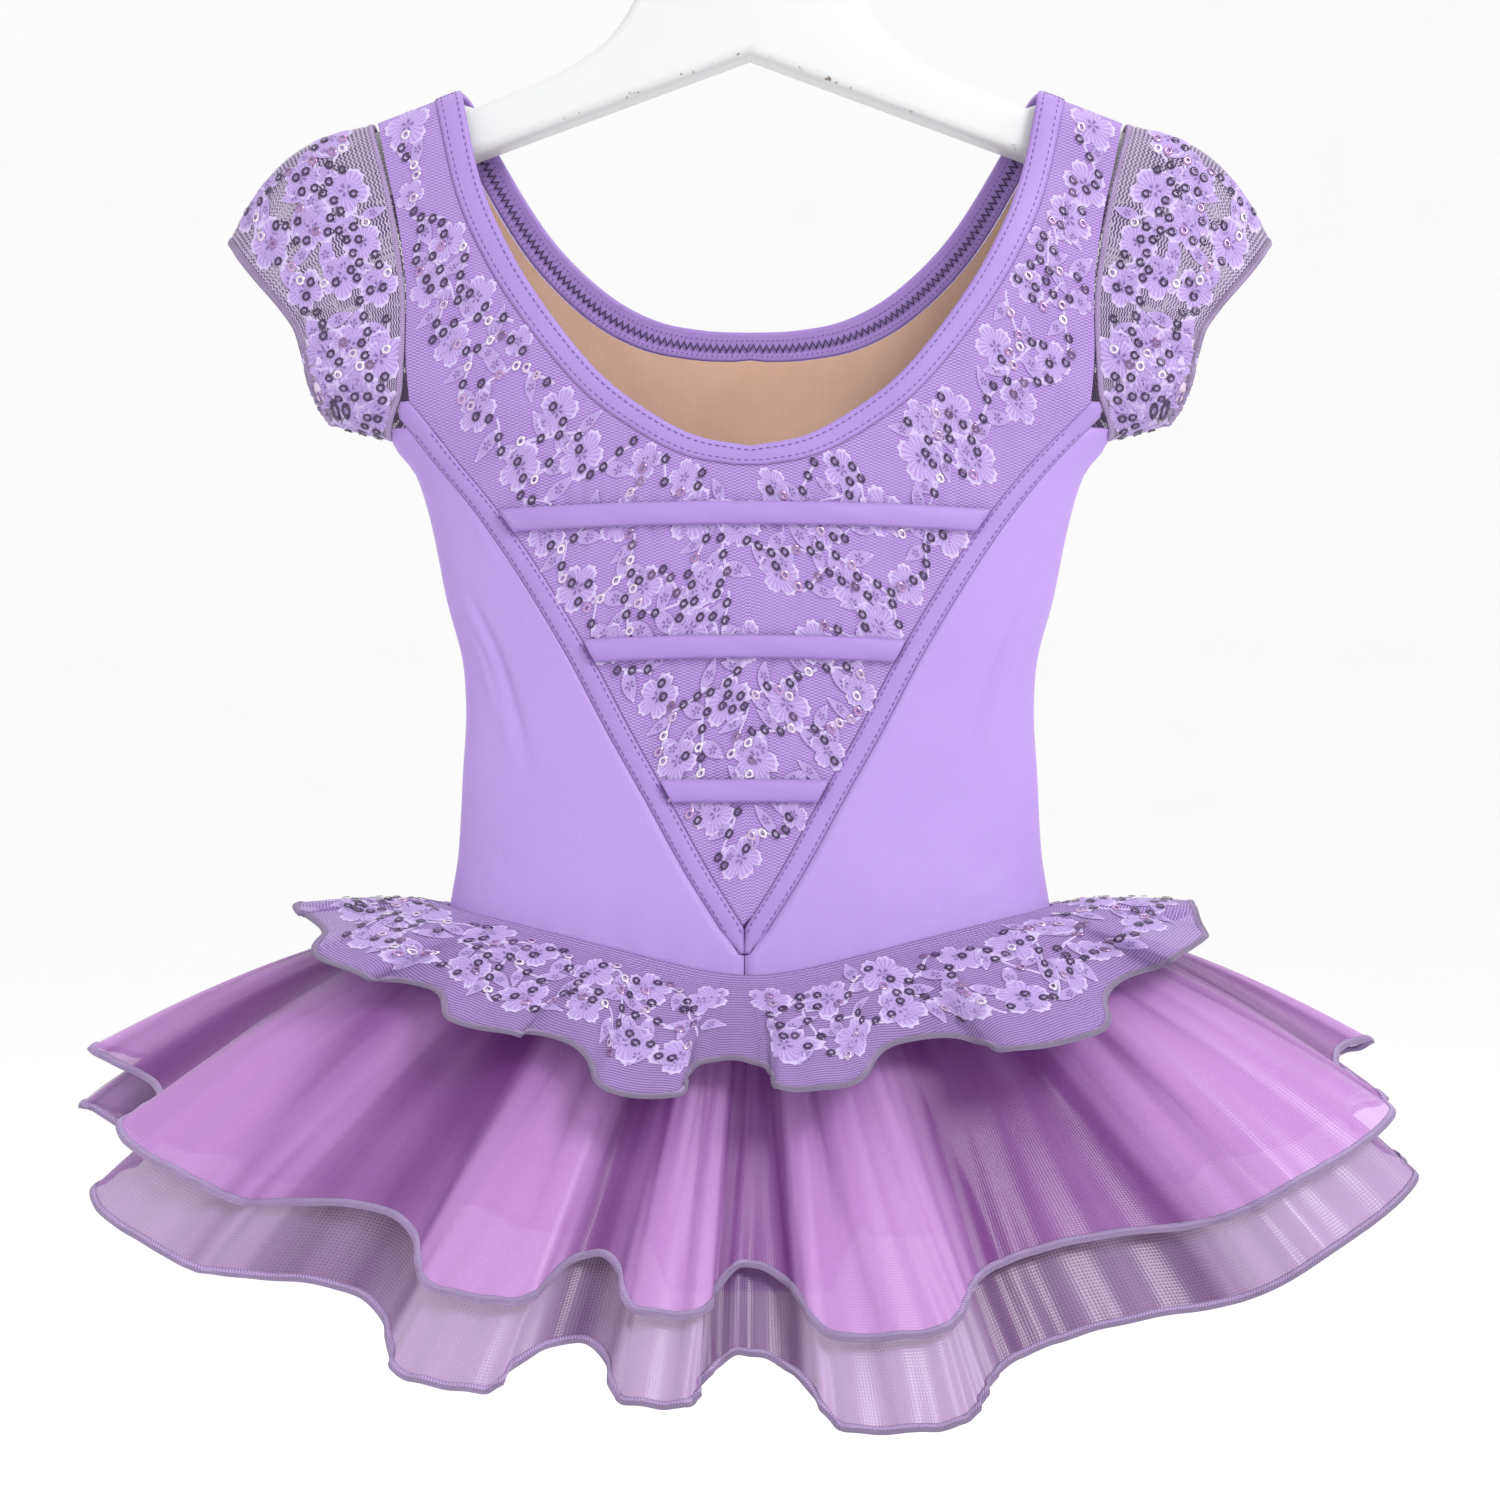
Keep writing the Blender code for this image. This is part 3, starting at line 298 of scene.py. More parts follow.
# a row of stitches on the cloth, or inside it where out is below 0
def sewnRow(bm, x, run, out, sewing):
    points = onCloth(x, run, out)
    stitches(bm, points, points - onCloth(x, run), *sewing)


# the same row on both sides of the middle
def sewnPair(bm, line, out, sewing):
    for side in (-1, 1):
        sewnRow(bm, side * line[:, 0], line[:, 1], out, sewing)


# Finishes

lightGain = 1.2  # what the studio adds to a colour that faces it


def linear(*shown):
    shares = [value / 255 for value in shown]
    return tuple((c / 12.92 if c <= 0.04045 else ((c + 0.055) / 1.055) ** 2.4) / lightGain for c in shares)


# a value in a material, which takes part in sums
class Grade:
    def __init__(self, finish, socket):
        self.finish, self.socket = finish, socket

    def sum(self, operation, *values):
        return self.finish.node("ShaderNodeMath", {"operation": operation}, dict(enumerate(values)))

    def __add__(self, other):
        return self.sum("ADD", self, other)

    def __sub__(self, other):
        return self.sum("SUBTRACT", self, other)

    def __rsub__(self, other):
        return self.sum("SUBTRACT", other, self)

    def __mul__(self, other):
        return self.sum("MULTIPLY", self, other)

    def __truediv__(self, other):
        return self.sum("DIVIDE", self, other)

    def __pow__(self, other):
        return self.sum("POWER", self, other)

    __radd__, __rmul__ = __add__, __mul__

    def sine(self):
        return self.sum("SINE", self)

    def size(self):
        return self.sum("ABSOLUTE", self)

    def least(self, other):
        return self.sum("MINIMUM", self, other)

    def wrapped(self):
        return self.sum("FRACT", self)

    # even waves from 0 to 1, with a pitch in millimetres
    def waves(self, pitch):
        return (self * (tau / (pitch * mm))).sine() * 0.5 + 0.5

    # 0 below start and 1 above end
    def between(self, start, end):
        settings = {"interpolation_type": "SMOOTHSTEP"}
        return self.finish.node("ShaderNodeMapRange", settings, {0: self, 1: start, 2: end})


class Finish:
    def __init__(self, name, **fixed):
        self.material = bpy.data.materials.new(name)
        self.material.use_nodes = True
        self.tree = self.material.node_tree
        self.shader = self.tree.nodes["Principled BSDF"]
        for key, value in fixed.items():
            self.shader.inputs[key.replace("_", " ").title().replace("Ior", "IOR")].default_value = value

    def feed(self, socket, value):
        if isinstance(value, Grade):
            self.tree.links.new(value.socket, socket)
        elif hasattr(value, "__len__") and len(value) == 3 and socket.type == "RGBA":
            socket.default_value = (*value, 1.0)
        else:
            socket.default_value = value

    def node(self, kind, settings=None, values=None, output=0):
        new = self.tree.nodes.new(kind)
        for key, value in (settings or {}).items():
            if key == "stops":
                for i, (spot, tint) in enumerate(value):
                    stop = new.color_ramp.elements[i] if i < 2 else new.color_ramp.elements.new(spot)
                    stop.position, stop.color = spot, (*tint, 1.0)
            else:
                setattr(new, key, value)
        for key, value in (values or {}).items():
            self.feed(new.inputs[key], value)
        return Grade(self, new.outputs[output])

    def uv(self):
        both = self.node("ShaderNodeUVMap")
        split = self.node("ShaderNodeSeparateXYZ", None, {0: both})
        return both, split, Grade(self, split.socket.node.outputs[1])

    def place(self):
        at = self.node("ShaderNodeTexCoord", output=3)
        split = self.node("ShaderNodeSeparateXYZ", None, {0: at}).socket.node.outputs
        return at, Grade(self, split[0]), Grade(self, split[1]), Grade(self, split[2])

    def noise(self, at, scale, detail=2.0, roughness=0.5):
        values = {"Vector": at, "Scale": scale, "Detail": detail, "Roughness": roughness}
        return self.node("ShaderNodeTexNoise", None, values)

    def tint(self, factor, start, end):
        return self.node("ShaderNodeMix", {"data_type": "RGBA"}, {0: factor, 6: start, 7: end}, 2)

    def colour(self, value):
        self.feed(self.shader.inputs["Base Color"], value)

    def rough(self, value):
        self.feed(self.shader.inputs["Roughness"], value)

    def clear(self, value):
        self.feed(self.shader.inputs["Alpha"], value)

    def bump(self, height, distance, strength=1.0):
        at = self.node("ShaderNodeBump", None, {"Strength": strength, "Distance": distance, "Height": height})
        self.feed(self.shader.inputs["Normal"], at)


tones = {
    "knit": linear(196, 161, 237), "knitDeep": linear(178, 143, 221),
    "binding": linear(186, 153, 229), "bindingDeep": linear(162, 128, 205),
    "net": linear(170, 132, 212), "netDeep": linear(140, 100, 188), "netThread": linear(194, 164, 228),
    "sleeve": linear(164, 142, 186), "sleeveDeep": linear(134, 112, 158),
    "sleeveThread": linear(192, 176, 212),
    "flower": linear(198, 178, 230), "flowerRim": linear(214, 198, 240), "flowerDeep": linear(136, 108, 178),
    # each organza's deep colour is painted shade, for its folds and for the ruffle above it
    "organza": linear(210, 150, 224), "organzaFoldShade": linear(122, 56, 136),
    # the under layer's colours are painted shade: a darker, greyer copy of the organza above
    "organzaUnder": linear(167, 121, 185), "organzaUnderFoldShade": linear(106, 62, 120),
    "serging": linear(214, 188, 236), "sergingDeep": linear(150, 116, 186),
    "lining": linear(234, 194, 168), "liningDeep": linear(200, 155, 128),
    "laceSerging": linear(206, 182, 228), "laceSergingDeep": linear(150, 122, 182),
    "coverThread": linear(66, 48, 102), "coverThreadDeep": linear(48, 36, 78),
    "thread": linear(118, 90, 164), "threadDeep": linear(92, 66, 140),
    # the pink and near-white sequin colours are painted glints
    "sequin": linear(58, 38, 82), "sequinPaintedGlint": linear(240, 230, 246), "sequinPaintedPinkGlint": linear(200, 150, 206),
    "paint": linear(232, 233, 234), "paintDull": linear(222, 221, 220), "primer": linear(150, 142, 136),
    "wood": linear(112, 98, 88), "chrome": linear(226, 227, 229), "chromeDeep": linear(196, 197, 200),
}


# fine ribs of a stretch knit, with a soft even change of colour
def knitFinish(name, light, deep):
    rib = 0.9
    finish = Finish(name, roughness=0.5, sheen_weight=0.25, sheen_roughness=0.4)
    at, u, v = finish.uv()
    ribs = u.waves(rib)
    loops = (v * (tau / (rib * 0.8 * mm)) + ribs * 2.0).sine() * 0.5 + 0.5
    cloud = finish.noise(at, 22.0, 3.0)
    grain = ribs * 0.55 + loops * 0.45
    finish.colour(finish.tint((cloud * 0.55 + grain * 0.3).least(1.0), deep, light))
    finish.rough(0.46 + grain * 0.12)
    finish.bump(grain * 0.6 + finish.noise(at, 900.0) * 0.4, 0.00012, 0.6)
    return finish.material


# lace ground: fine level rows of zigzag thread
def netFinish(name, open=0.0, tone="net"):
    finish = Finish(name, roughness=0.72, sheen_weight=0.2, sheen_roughness=0.5)
    at, u, v = finish.uv()
    zigzag = ((u / (1.5 * mm)).wrapped() - 0.5).size() * 2
    rows = ((v / (1.15 * mm) + zigzag * 0.5).wrapped() - 0.5).size() * 2
    thread = rows.between(0.35, 0.75)
    cloud = finish.noise(at, 60.0, 2.0)
    ground = finish.tint(cloud, tones[tone + "Deep"], tones[tone])
    finish.colour(finish.tint(thread, ground, tones[tone + "Thread"]))
    finish.bump(thread, 0.0003, 0.7)
    if open:
        finish.clear((1 - open) + thread * open)
    return finish.material


# embroidered flowers and leaves: light corded rim, stitched rays and a dashed centre
def flowerFinish():
    finish = Finish(
        "laceFlower", roughness=0.8, sheen_weight=0.15, sheen_roughness=0.6, specular_ior_level=0.25)
    at, u, v = finish.uv()
    u, v = u / mm, v / mm
    reach = (u * u + v * v) ** 0.5
    angle = finish.node("ShaderNodeMath", {"operation": "ARCTAN2"}, {0: v, 1: u})
    rays = (angle * 22.0 + reach * 4.0).sine() * 0.5 + 0.5
    petal = (angle * (motifs["petals"] / 2) + tau / 4).sine().size()
    lobe = 1 - motifs["scallop"] * (1 - petal ** 0.6) * reach
    rim = (reach / lobe).between(0.8, 0.93)
    centre = (1 - reach.between(0.2, 0.34)) * reach.between(0.06, 0.12)
    petals = finish.tint(rays * 0.7, tones["flower"], tones["net"])
    dashed = finish.tint(centre * ((angle * 5.0).sine().between(-0.2, 0.3)), petals, tones["flowerDeep"])
    finish.colour(finish.tint(rim, dashed, tones["flowerRim"]))
    finish.bump(rays * (1 - rim) + rim, 0.00025, 0.6)
    return finish.material


# crisp sheer organza: fine threads both ways, its colour darkened by painted shade in the folds and under the
# ruffle
def organzaFinish(name, cover, light, deep):
    finish = Finish(name, roughness=0.38, sheen_weight=0.3, sheen_roughness=0.3, specular_ior_level=0.5)
    at, u, v = finish.uv()
    warp, weft = u.waves(0.7), v.waves(0.7)
    cloud = finish.noise(at, 9.0, 3.0)
    # streaks run down the cloth: fine across it and long along it
    drawn = finish.node("ShaderNodeVectorMath", {"operation": "MULTIPLY"}, {0: at, 1: (85.0, 3.0, 1.0)})
    streak = finish.noise(drawn, 1.0, 3.0)
    # painted shade, set on each vertex of the cloth: darker in the valleys and pleats of the folds and near
    # the seam under the ruffle, mixed with streaks and cloud; it also makes the cloth a little less clear
    fold = finish.node("ShaderNodeAttribute", {"attribute_name": "foldPaintedShade"}, output=2)
    shade = (fold * 0.85 + (streak - 0.5) * 0.9 + (cloud - 0.5) * 0.4).between(0.05, 0.95)
    finish.colour(finish.tint(shade, light, deep))
    finish.rough(0.27 + warp * weft * 0.2)
    finish.clear((cover + shade * 0.14 + warp * weft * 0.1).least(1.0))
    finish.bump(warp + weft, 0.00006, 0.5)
    return finish.material


# overlocked edge: cross threads round a roll
def sergingFinish(name, light, deep, pitch=1.0):
    finish = Finish(name, roughness=0.6, sheen_weight=0.2)
    at, u, v = finish.uv()
    threads = (u * (tau / (pitch * mm)) + v * (tau / (3.2 * mm))).sine() * 0.5 + 0.5
    shade = finish.noise(at, 160.0)
    finish.colour(finish.tint((threads * 0.7 + shade * 0.4).least(1.0), deep, light))
    finish.bump(threads, 0.0004, 0.9)
    return finish.material


def threadFinish(name, light, deep):
    finish = Finish(name, roughness=0.55, sheen_weight=0.2)
    at, x, y, z = finish.place()
    finish.colour(finish.tint(finish.noise(at, 700.0), deep, light))
    finish.bump(finish.noise(at, 3000.0), 0.00008, 0.6)
    return finish.material


def sequinFinish():
    finish = Finish("sequin", roughness=0.18, coat_weight=0.6, coat_roughness=0.08)
    at, tone, edge = finish.uv()
    # painted glints: a random share of the sequins is coloured pink and near white, for light they catch,
    # while the rest keep their dark colour
    dark, pink, light = tones["sequin"], tones["sequinPaintedPinkGlint"], tones["sequinPaintedGlint"]
    stops = [(0.0, dark), (0.62, dark), (0.8, pink), (0.93, light)]
    finish.colour(finish.node("ShaderNodeValToRGB", {"stops": stops}, {0: tone / mm}))
    finish.feed(finish.shader.inputs["Metallic"], 0.35 + tone / mm * 0.3)
    return finish.material


def liningFinish():
    finish = Finish("nudeLining", roughness=0.7, sheen_weight=0.2, sheen_roughness=0.5)
    at, u, v = finish.uv()
    ribs = u.waves(0.8)
    cloud = finish.noise(at, 30.0, 3.0)
    finish.colour(finish.tint((cloud * 0.8 + ribs * 0.2).least(1.0), tones["liningDeep"], tones["lining"]))
    finish.bump(ribs * 0.6 + cloud, 0.0002, 0.5)
    return finish.material


# white satin paint, rubbed and chipped to primer and wood along the lower front edge
def paintFinish():
    finish = Finish("whitePaint", roughness=0.34, coat_weight=0.15, coat_roughness=0.25)
    at, x, y, z = finish.place()
    fromEdge = z - hanger["notch"] * mm + x.size() * hanger["slope"]
    front = 1 - (y + hanger["thick"] / 2 * mm).between(0.0005, 0.0045)
    near = (1 - fromEdge.between(0.0012, 0.0048)) * front
    chips = finish.noise(at, 260.0, 4.0, 0.65)
    bare = (chips + near * 0.22).between(0.83, 0.86)
    deep = (chips + near * 0.2).between(0.88, 0.92)
    dust = finish.noise(at, 34.0, 3.0)
    paint = finish.tint(dust * 0.35, tones["paint"], tones["paintDull"])
    finish.colour(finish.tint(deep, finish.tint(bare, paint, tones["primer"]), tones["wood"]))
    finish.rough(0.32 + bare * 0.35 + dust * 0.08)
    finish.bump(finish.noise(at, 120.0, 3.0) * 0.35 - bare * 0.8, 0.0002, 0.6)
    return finish.material


def chromeFinish():
    finish = Finish("chromedSteel", metallic=1.0)
    at, x, y, z = finish.place()
    smear = finish.noise(at, 90.0, 3.0)
    finish.colour(finish.tint(smear, tones["chromeDeep"], tones["chrome"]))
    finish.rough(0.12 + smear * 0.12)
    finish.bump(finish.noise(at, 400.0), 0.00003, 0.3)
    return finish.material


knit = knitFinish("lavenderKnit", tones["knit"], tones["knitDeep"])
binding = knitFinish("lavenderBinding", tones["binding"], tones["bindingDeep"])
yokeNet = netFinish("yokeNet")
ruffleNet = netFinish("ruffleNet", 0.5)
sleeveNet = netFinish("sleeveNet", 0.8, "sleeve")
upperOrganza = organzaFinish("upperOrganza", 0.72, tones["organza"], tones["organzaFoldShade"])
# the lower layer is a darker, greyer copy of the same organza: painted shade for the layer hanging under the
# upper one
shadedLowerOrganza = organzaFinish("shadedLowerOrganza", 0.8, tones["organzaUnder"], tones["organzaUnderFoldShade"])
serging = sergingFinish("hemSerging", tones["serging"], tones["sergingDeep"])
laceSerging = sergingFinish("laceSerging", tones["laceSerging"], tones["laceSergingDeep"], 0.8)
stitchThread = threadFinish("stitchThread", tones["thread"], tones["threadDeep"])
coverThread = threadFinish("coverThread", tones["coverThread"], tones["coverThreadDeep"])
lining = liningFinish()
chrome = chromeFinish()
print("finishes ready")


# Hanger

hanger = {
    # out from the centre and height of the arm's top edge
    "top": [(14, -58), (30, -64), (39, -76), (43, -90), (53, -104), (70, -115.5), (90, -124), (101, -128.5)],
    "thick": 14.0, "edge": 4.0, "underCloth": 3.2, "covered": (108, 126, 142), "notch": -109.5, "slope": 0.37,
    "tip": 154.0, "tipCut": 4.0, "tipDrop": 10.0, "tipRise": 5.0, "hump": -58.0,
    "wire": 2.0, "innerRadius": 20.0, "hookTurn": (-40, 206, 15), "crispAngle": 38.0,
    # the wire's first places, from the hump's top and from below the hook's turn
    "hookFoot": [(0, -12), (0, 1)], "hookNeck": [(0.5, -4), (9, 3.5)], "wirePlaces": 150, "topPlaces": 60,
}
paint = paintFinish()


def hangerOutline():
    top = [tuple(spot) for spot in lineThrough(hanger["top"], hanger["topPlaces"])]
    under = [(x, float(shoulderLine(x)) - hanger["underCloth"]) for x in hanger["covered"]]
    inner = hanger["tip"] - hanger["tipCut"]
    low = hanger["notch"] - hanger["slope"] * inner
    tip = [
        (inner, float(shoulderLine(inner)) - hanger["tipCut"] - hanger["underCloth"]),
        (hanger["tip"], float(shoulderLine(hanger["tip"])) - hanger["tipDrop"]),
        (hanger["tip"], low + hanger["tipRise"]),
        (inner, low),
    ]
    half = top + under + tip
    return half + [(0.0, hanger["notch"])] + [(-x, z) for x, z in half[::-1]]


def makeHanger():
    bm = bmesh.new()
    half = hanger["thick"] / 2
    outline = [bm.verts.new((x * mm, -half * mm, z * mm)) for x, z in hangerOutline()]
    bm.faces.new(outline)
    grown = bmesh.ops.extrude_face_region(bm, geom=bm.faces[:])["geom"]
    back = [part for part in grown if isinstance(part, bmesh.types.BMVert)]
    bmesh.ops.translate(bm, verts=back, vec=(0, 2 * half * mm, 0))
    bmesh.ops.recalc_face_normals(bm, faces=bm.faces[:])
    rims = [edge for edge in bm.edges if abs(edge.verts[0].co.y - edge.verts[1].co.y) < 1e-6]
    bmesh.ops.bevel(
        bm, geom=rims, offset=hanger["edge"] * mm, segments=6, profile=0.5, affect="EDGES", material=-1)
    bmesh.ops.triangulate(bm, faces=[face for face in bm.faces if len(face.verts) > 4])
    wood = finished("hangerWood", bm, paint, outward=False, node="hanger_body")
    wood.data.set_sharp_from_angle(angle=math.radians(hanger["crispAngle"]))

    radius = hanger["innerRadius"] + hanger["wire"]
    middle = hanger["wire"] - radius
    path = [(x, hanger["hump"] + z) for x, z in hanger["hookFoot"]]
    path += [(x, middle - radius + z) for x, z in hanger["hookNeck"]]
    for degrees in range(*hanger["hookTurn"]):
        turn = math.radians(degrees)
        path.append((radius * math.cos(turn), middle + radius * math.sin(turn)))
    curve = bpy.data.curves.new("hookWire", "CURVE")
    curve.dimensions, curve.use_fill_caps = "3D", True
    curve.bevel_depth, curve.bevel_resolution = hanger["wire"] * mm, 5
    route = lineThrough(path, hanger["wirePlaces"])
    spline = curve.splines.new("POLY")
    spline.points.add(len(route) - 1)
    for spot, (x, z) in zip(spline.points, route):
        spot.co = (x * mm, 0, z * mm, 1)
    curve.materials.append(chrome)
    hook = bpy.data.objects.new("hookWire", curve)
    bpy.context.scene.collection.objects.link(hook)
    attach(hook, "root")
    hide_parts("hanger_hook")


makeHanger()
print("hanger made")


# Neck binding

neck = {
    # inner edge from the shoulder to the centre: half width and height
    "front": [
        (106.5, -122.5), (98.5, -155), (88, -181), (74.5, -203.5), (56, -227), (39, -241), (20, -251.5),
        (0, -255.5),
    ],
    "back": [(106.5, -122.5), (92.5, -144), (75, -171), (55, -190.5), (36, -201), (17, -204.8), (0, -205.5)],
    "shoulderWide": 8.8, "frontWide": 6.0, "backWide": 10.2, "crowding": 1.2, "wall": 1.8,
    "profile": [(0, -0.1), (0.12, 0.3), (0.5, 0.5), (0.88, 0.42), (1, 0.1)],
    # where each row lies across the binding, and its pitch, stitch length, thickness and lean
    "topRows": (0.2, 0.8), "topStitch": (2.6, 1.9, 0.2), "topOut": 1.38, "unsewn": 3,
    "innerRows": (0.3, 0.84), "innerStitch": (1.9, 0.9, 0.24), "innerOut": -1.1, "innerStart": 6,
    "coverRow": 0.57, "coverStitch": (1.25, 4.6, 0.3, 1.12), "coverOut": -1.15,
    "join": (107.5, 114.5, 6.0), "joinStitch": (1.4, 1.3, 0.22), "joinOut": 1.36,
}
fineness = 6  # fine steps for each step of the solids
neckSteps, armholeSteps = 14, 5


def neckHalf(rows, count):
    places = place([x for x, z in rows], [z for x, z in rows])
    places[0] = rows[0][0], 0.0
    return lineThrough(places, count, neck["crowding"])


def widened(line, start, end):
    along = np.gradient(line, axis=0)
    along[0], along[-1] = (0, 1), (-1, 0)
    away = unit(np.stack([along[:, 1], -along[:, 0]], axis=1))
    return line + away * (start + (end - start) * ease(np.linspace(0, 1, len(line))))[:, None]


def neckLines(count, extra=0.0):
    front, back = neckHalf(neck["front"], count), neckHalf(neck["back"], count)
    frontOuter = widened(front, neck["shoulderWide"] + extra, neck["frontWide"] + extra)
    return front, frontOuter, back, widened(back, neck["shoulderWide"] + extra, neck["backWide"] + extra)


def around(frontHalf, backHalf):
    behind = backHalf * (1, -1)
    left, backLeft = frontHalf[::-1] * (-1, 1), behind * (-1, 1)
    return np.vstack([frontHalf, left[1:], backLeft[1:], behind[::-1][1:]])


def makeBinding():
    front, frontOuter, back, backOuter = neckLines(neckSteps * fineness)
    inner, outer = around(front, back), around(frontOuter, backOuter)
    rows = []
    for share, out in neck["profile"]:
        line = inner * (1 - share) + outer * share
        rows.append(onCloth(line[:, 0], line[:, 1], out))
    clothPiece(
        "neckBinding", np.array(rows), binding, neck["wall"], "neck_binding", closed=True)
    bm = bmesh.new()
    for share in neck["topRows"]:
        line = (front * (1 - share) + frontOuter * share)[neck["unsewn"]:]
        sewnPair(bm, line, neck["topOut"], neck["topStitch"])
    # both shoulders have a short seam across the binding
    start, end, run = neck["join"]
    line = np.stack([np.linspace(start, end, 6), np.full(6, run)], axis=1)
    sewnPair(bm, line, neck["joinOut"], neck["joinStitch"])
    # inside the back: two rows of needle stitches and a band of slanted cover loops between them
    for share in neck["innerRows"]:
        line = (back * (1 - share) + backOuter * share)[neck["innerStart"]:] * (1, -1)
        sewnPair(bm, line, neck["innerOut"], neck["innerStitch"])
    finished("bindingStitches", bm, stitchThread, outward=False)
    bm = bmesh.new()
    share = neck["coverRow"]
    line = (back * (1 - share) + backOuter * share)[neck["innerStart"]:] * (1, -1)
    sewnPair(bm, line, neck["coverOut"], neck["coverStitch"])
    finished("coverStitches", bm, coverThread, outward=False)


makeBinding()
print("neck binding made")


# Lace yoke

yoke = {
    # height and half width of the V between the strips
    "vee": [
        (-236, 124.5), (-252.5, 109.5), (-281.5, 85.5), (-327, 56.5), (-358, 40), (-381, 27), (-408, 12),
        (-427, 0),
    ],
    "lean": -2.0, "leanRise": 25.0, "armhole": (-150, -172, -196, -220), "top": -237.5, "tip": -427.0,
    "tipGap": 0.8, "wall": 1.2, "rows": 84, "ridgeGap": 0.5, "crowding": 1.6,
    "ruche": 0.5, "ruchePitch": 6.5, "rucheReach": 11.0,
}
veeHalf = curveThrough(*zip(*yoke["vee"]))
straps = {
    # name, height at the ends and at the middle
    "rows": [
        ("strap_upper", -281.0, -279.0), ("strap_middle", -328.0, -326.5), ("strap_lower", -378.5, -378.3),
    ],
    "wide": 7.0, "wall": 2.2, "standOff": 0.5, "endGap": 0.6,
    # across the strap and out from it
    "profile": [
        (-0.5, -0.3), (-0.42, 0.35), (-0.2, 0.75), (0.05, 0.85), (0.28, 0.7), (0.44, 0.35), (0.5, -0.3),
    ],
    "sunk": 0.35, "shellWall": 1.65, "places": 90,
}


def lean(z):
    return yoke["lean"] * ease((yoke["top"] - z) / yoke["leanRise"])


def veeHeights(count):
    return np.linspace(yoke["top"], yoke["tip"] + yoke["tipGap"], count + 1)


def strapHeight(number, x):
    name, ends, middle = straps["rows"][number]
    return middle + (ends - middle) * np.clip(x / veeHalf(middle), -1, 1) ** 2


# the lace puckers where each strap is sewn across it
def ruche(x, z):
    out = 0.0
    for number in range(len(straps["rows"])):
        near = np.exp(-(((z - strapHeight(number, x)) / yoke["rucheReach"]) ** 2))
        inside = 1 - ease((np.abs(x - lean(z)) - veeHalf(z) + 8) / 8)
        wave = np.sin(tau * x / yoke["ruchePitch"] + number * 1.7 + 1.4 * np.sin(x / 9.0 + number))
        out = out + yoke["ruche"] * near * inside * wave
    return out - 0.3 * ease((-300 - z) / 40) * ease((z + 420) / 40)


def yokeEdges():
    inner = neckLines(neckSteps * fineness, body["seam"])[1]
    points = [(body["armholeTop"] - body["seam"], 0.0)]
    for z in yoke["armhole"]:
        points.append(place(halfWidth(z) - body["seam"], z))
    points.append(place(veeHalf(yoke["top"]), yoke["top"]))
    armhole = lineThrough(points, armholeSteps * fineness, yoke["crowding"])
    inner[0, 1] = armhole[0, 1] = yoke["ridgeGap"]
    heights = veeHeights((neckSteps - armholeSteps) * fineness)[1:]
    halves = []
    for side in (-1, 1):
        vee = place(side * veeHalf(heights) + lean(heights), heights)
        halves.append(np.vstack([armhole * (side, 1), vee]))
    outer = np.vstack([halves[0], halves[1][::-1][1:]])
    return np.vstack([inner * (-1, 1), inner[::-1][1:]]), outer


def makeYoke():
    inner, outer = yokeEdges()
    shares = np.linspace(0, 1, yoke["rows"] + 1)[:, None, None]
    chart = inner * (1 - shares) + outer * shares
    x, run = chart[..., 0], chart[..., 1]
    edge = np.clip(np.minimum(shares[..., 0], 1 - shares[..., 0]) * 12, 0, 1)
    points = onCloth(x, run, ruche(x, shoulderLine(x) - dropOf(run)) * edge)
    clothPiece("laceYoke", points, yokeNet, yoke["wall"], "front_yoke", uv=chart)


makeYoke()
print("yoke made")


# Strips, side panels, back and lining

strips = {
    "wide": 8.2, "tip": -438.0, "taper": 12.0, "least": 1.4, "corner": 0.8, "gap": 0.4, "drop": 9.0,
    "profile": [(0, -0.1), (0.2, 0.4), (0.5, 0.55), (0.8, 0.4), (1, -0.1)],
    "sewnAt": (0.14, 0.86), "sewnOut": 1.02, "unsewn": 4, "rows": 70, "tipRows": 6,
}
panels = {
    "top": -246.5, "seamMeeting": 0.8, "columns": 44, "rowStep": 4.0, "legRows": 34, "sideGap": 0.45,
    "footTop": -537.0, "upperRows": 48, "backRows": 60, "backCrowding": 1.6, "slack": 0.25,
    # height, reach and depth of the gathers at the skirt's seam
    "seamGathers": (-436, 14, 0.35),
    # rows of the back that the lining runs over, steps that it stops short at each side, gap and wall
    "liningRows": (3, 70), "liningShort": 4, "liningGap": 0.5, "liningWall": 0.5,
    # side creases: height and angle where each starts and ends, depth, half width
    "creases": [
        (-305, 1.16, -372, 0.86, 1.5, 3.4), (-318, 1.2, -352, 1.02, 1.0, 2.6),
        (-268, 1.0, -300, 0.86, 0.8, 3.2), (-395, 1.2, -412, 0.8, 0.9, 3.0),
    ],
}


def stripEdges(z, side):
    start = veeHalf(z) + strips["gap"]
    width = strips["wide"] * ease((z - strips["tip"]) / strips["taper"])
    room = halfWidth(z) - body["seam"] * 2 - side * lean(z)
    end = np.minimum(start + np.maximum(width, strips["least"]), room)
    start = np.minimum(start, end - strips["corner"])
    return side * start + lean(z), side * end + lean(z)


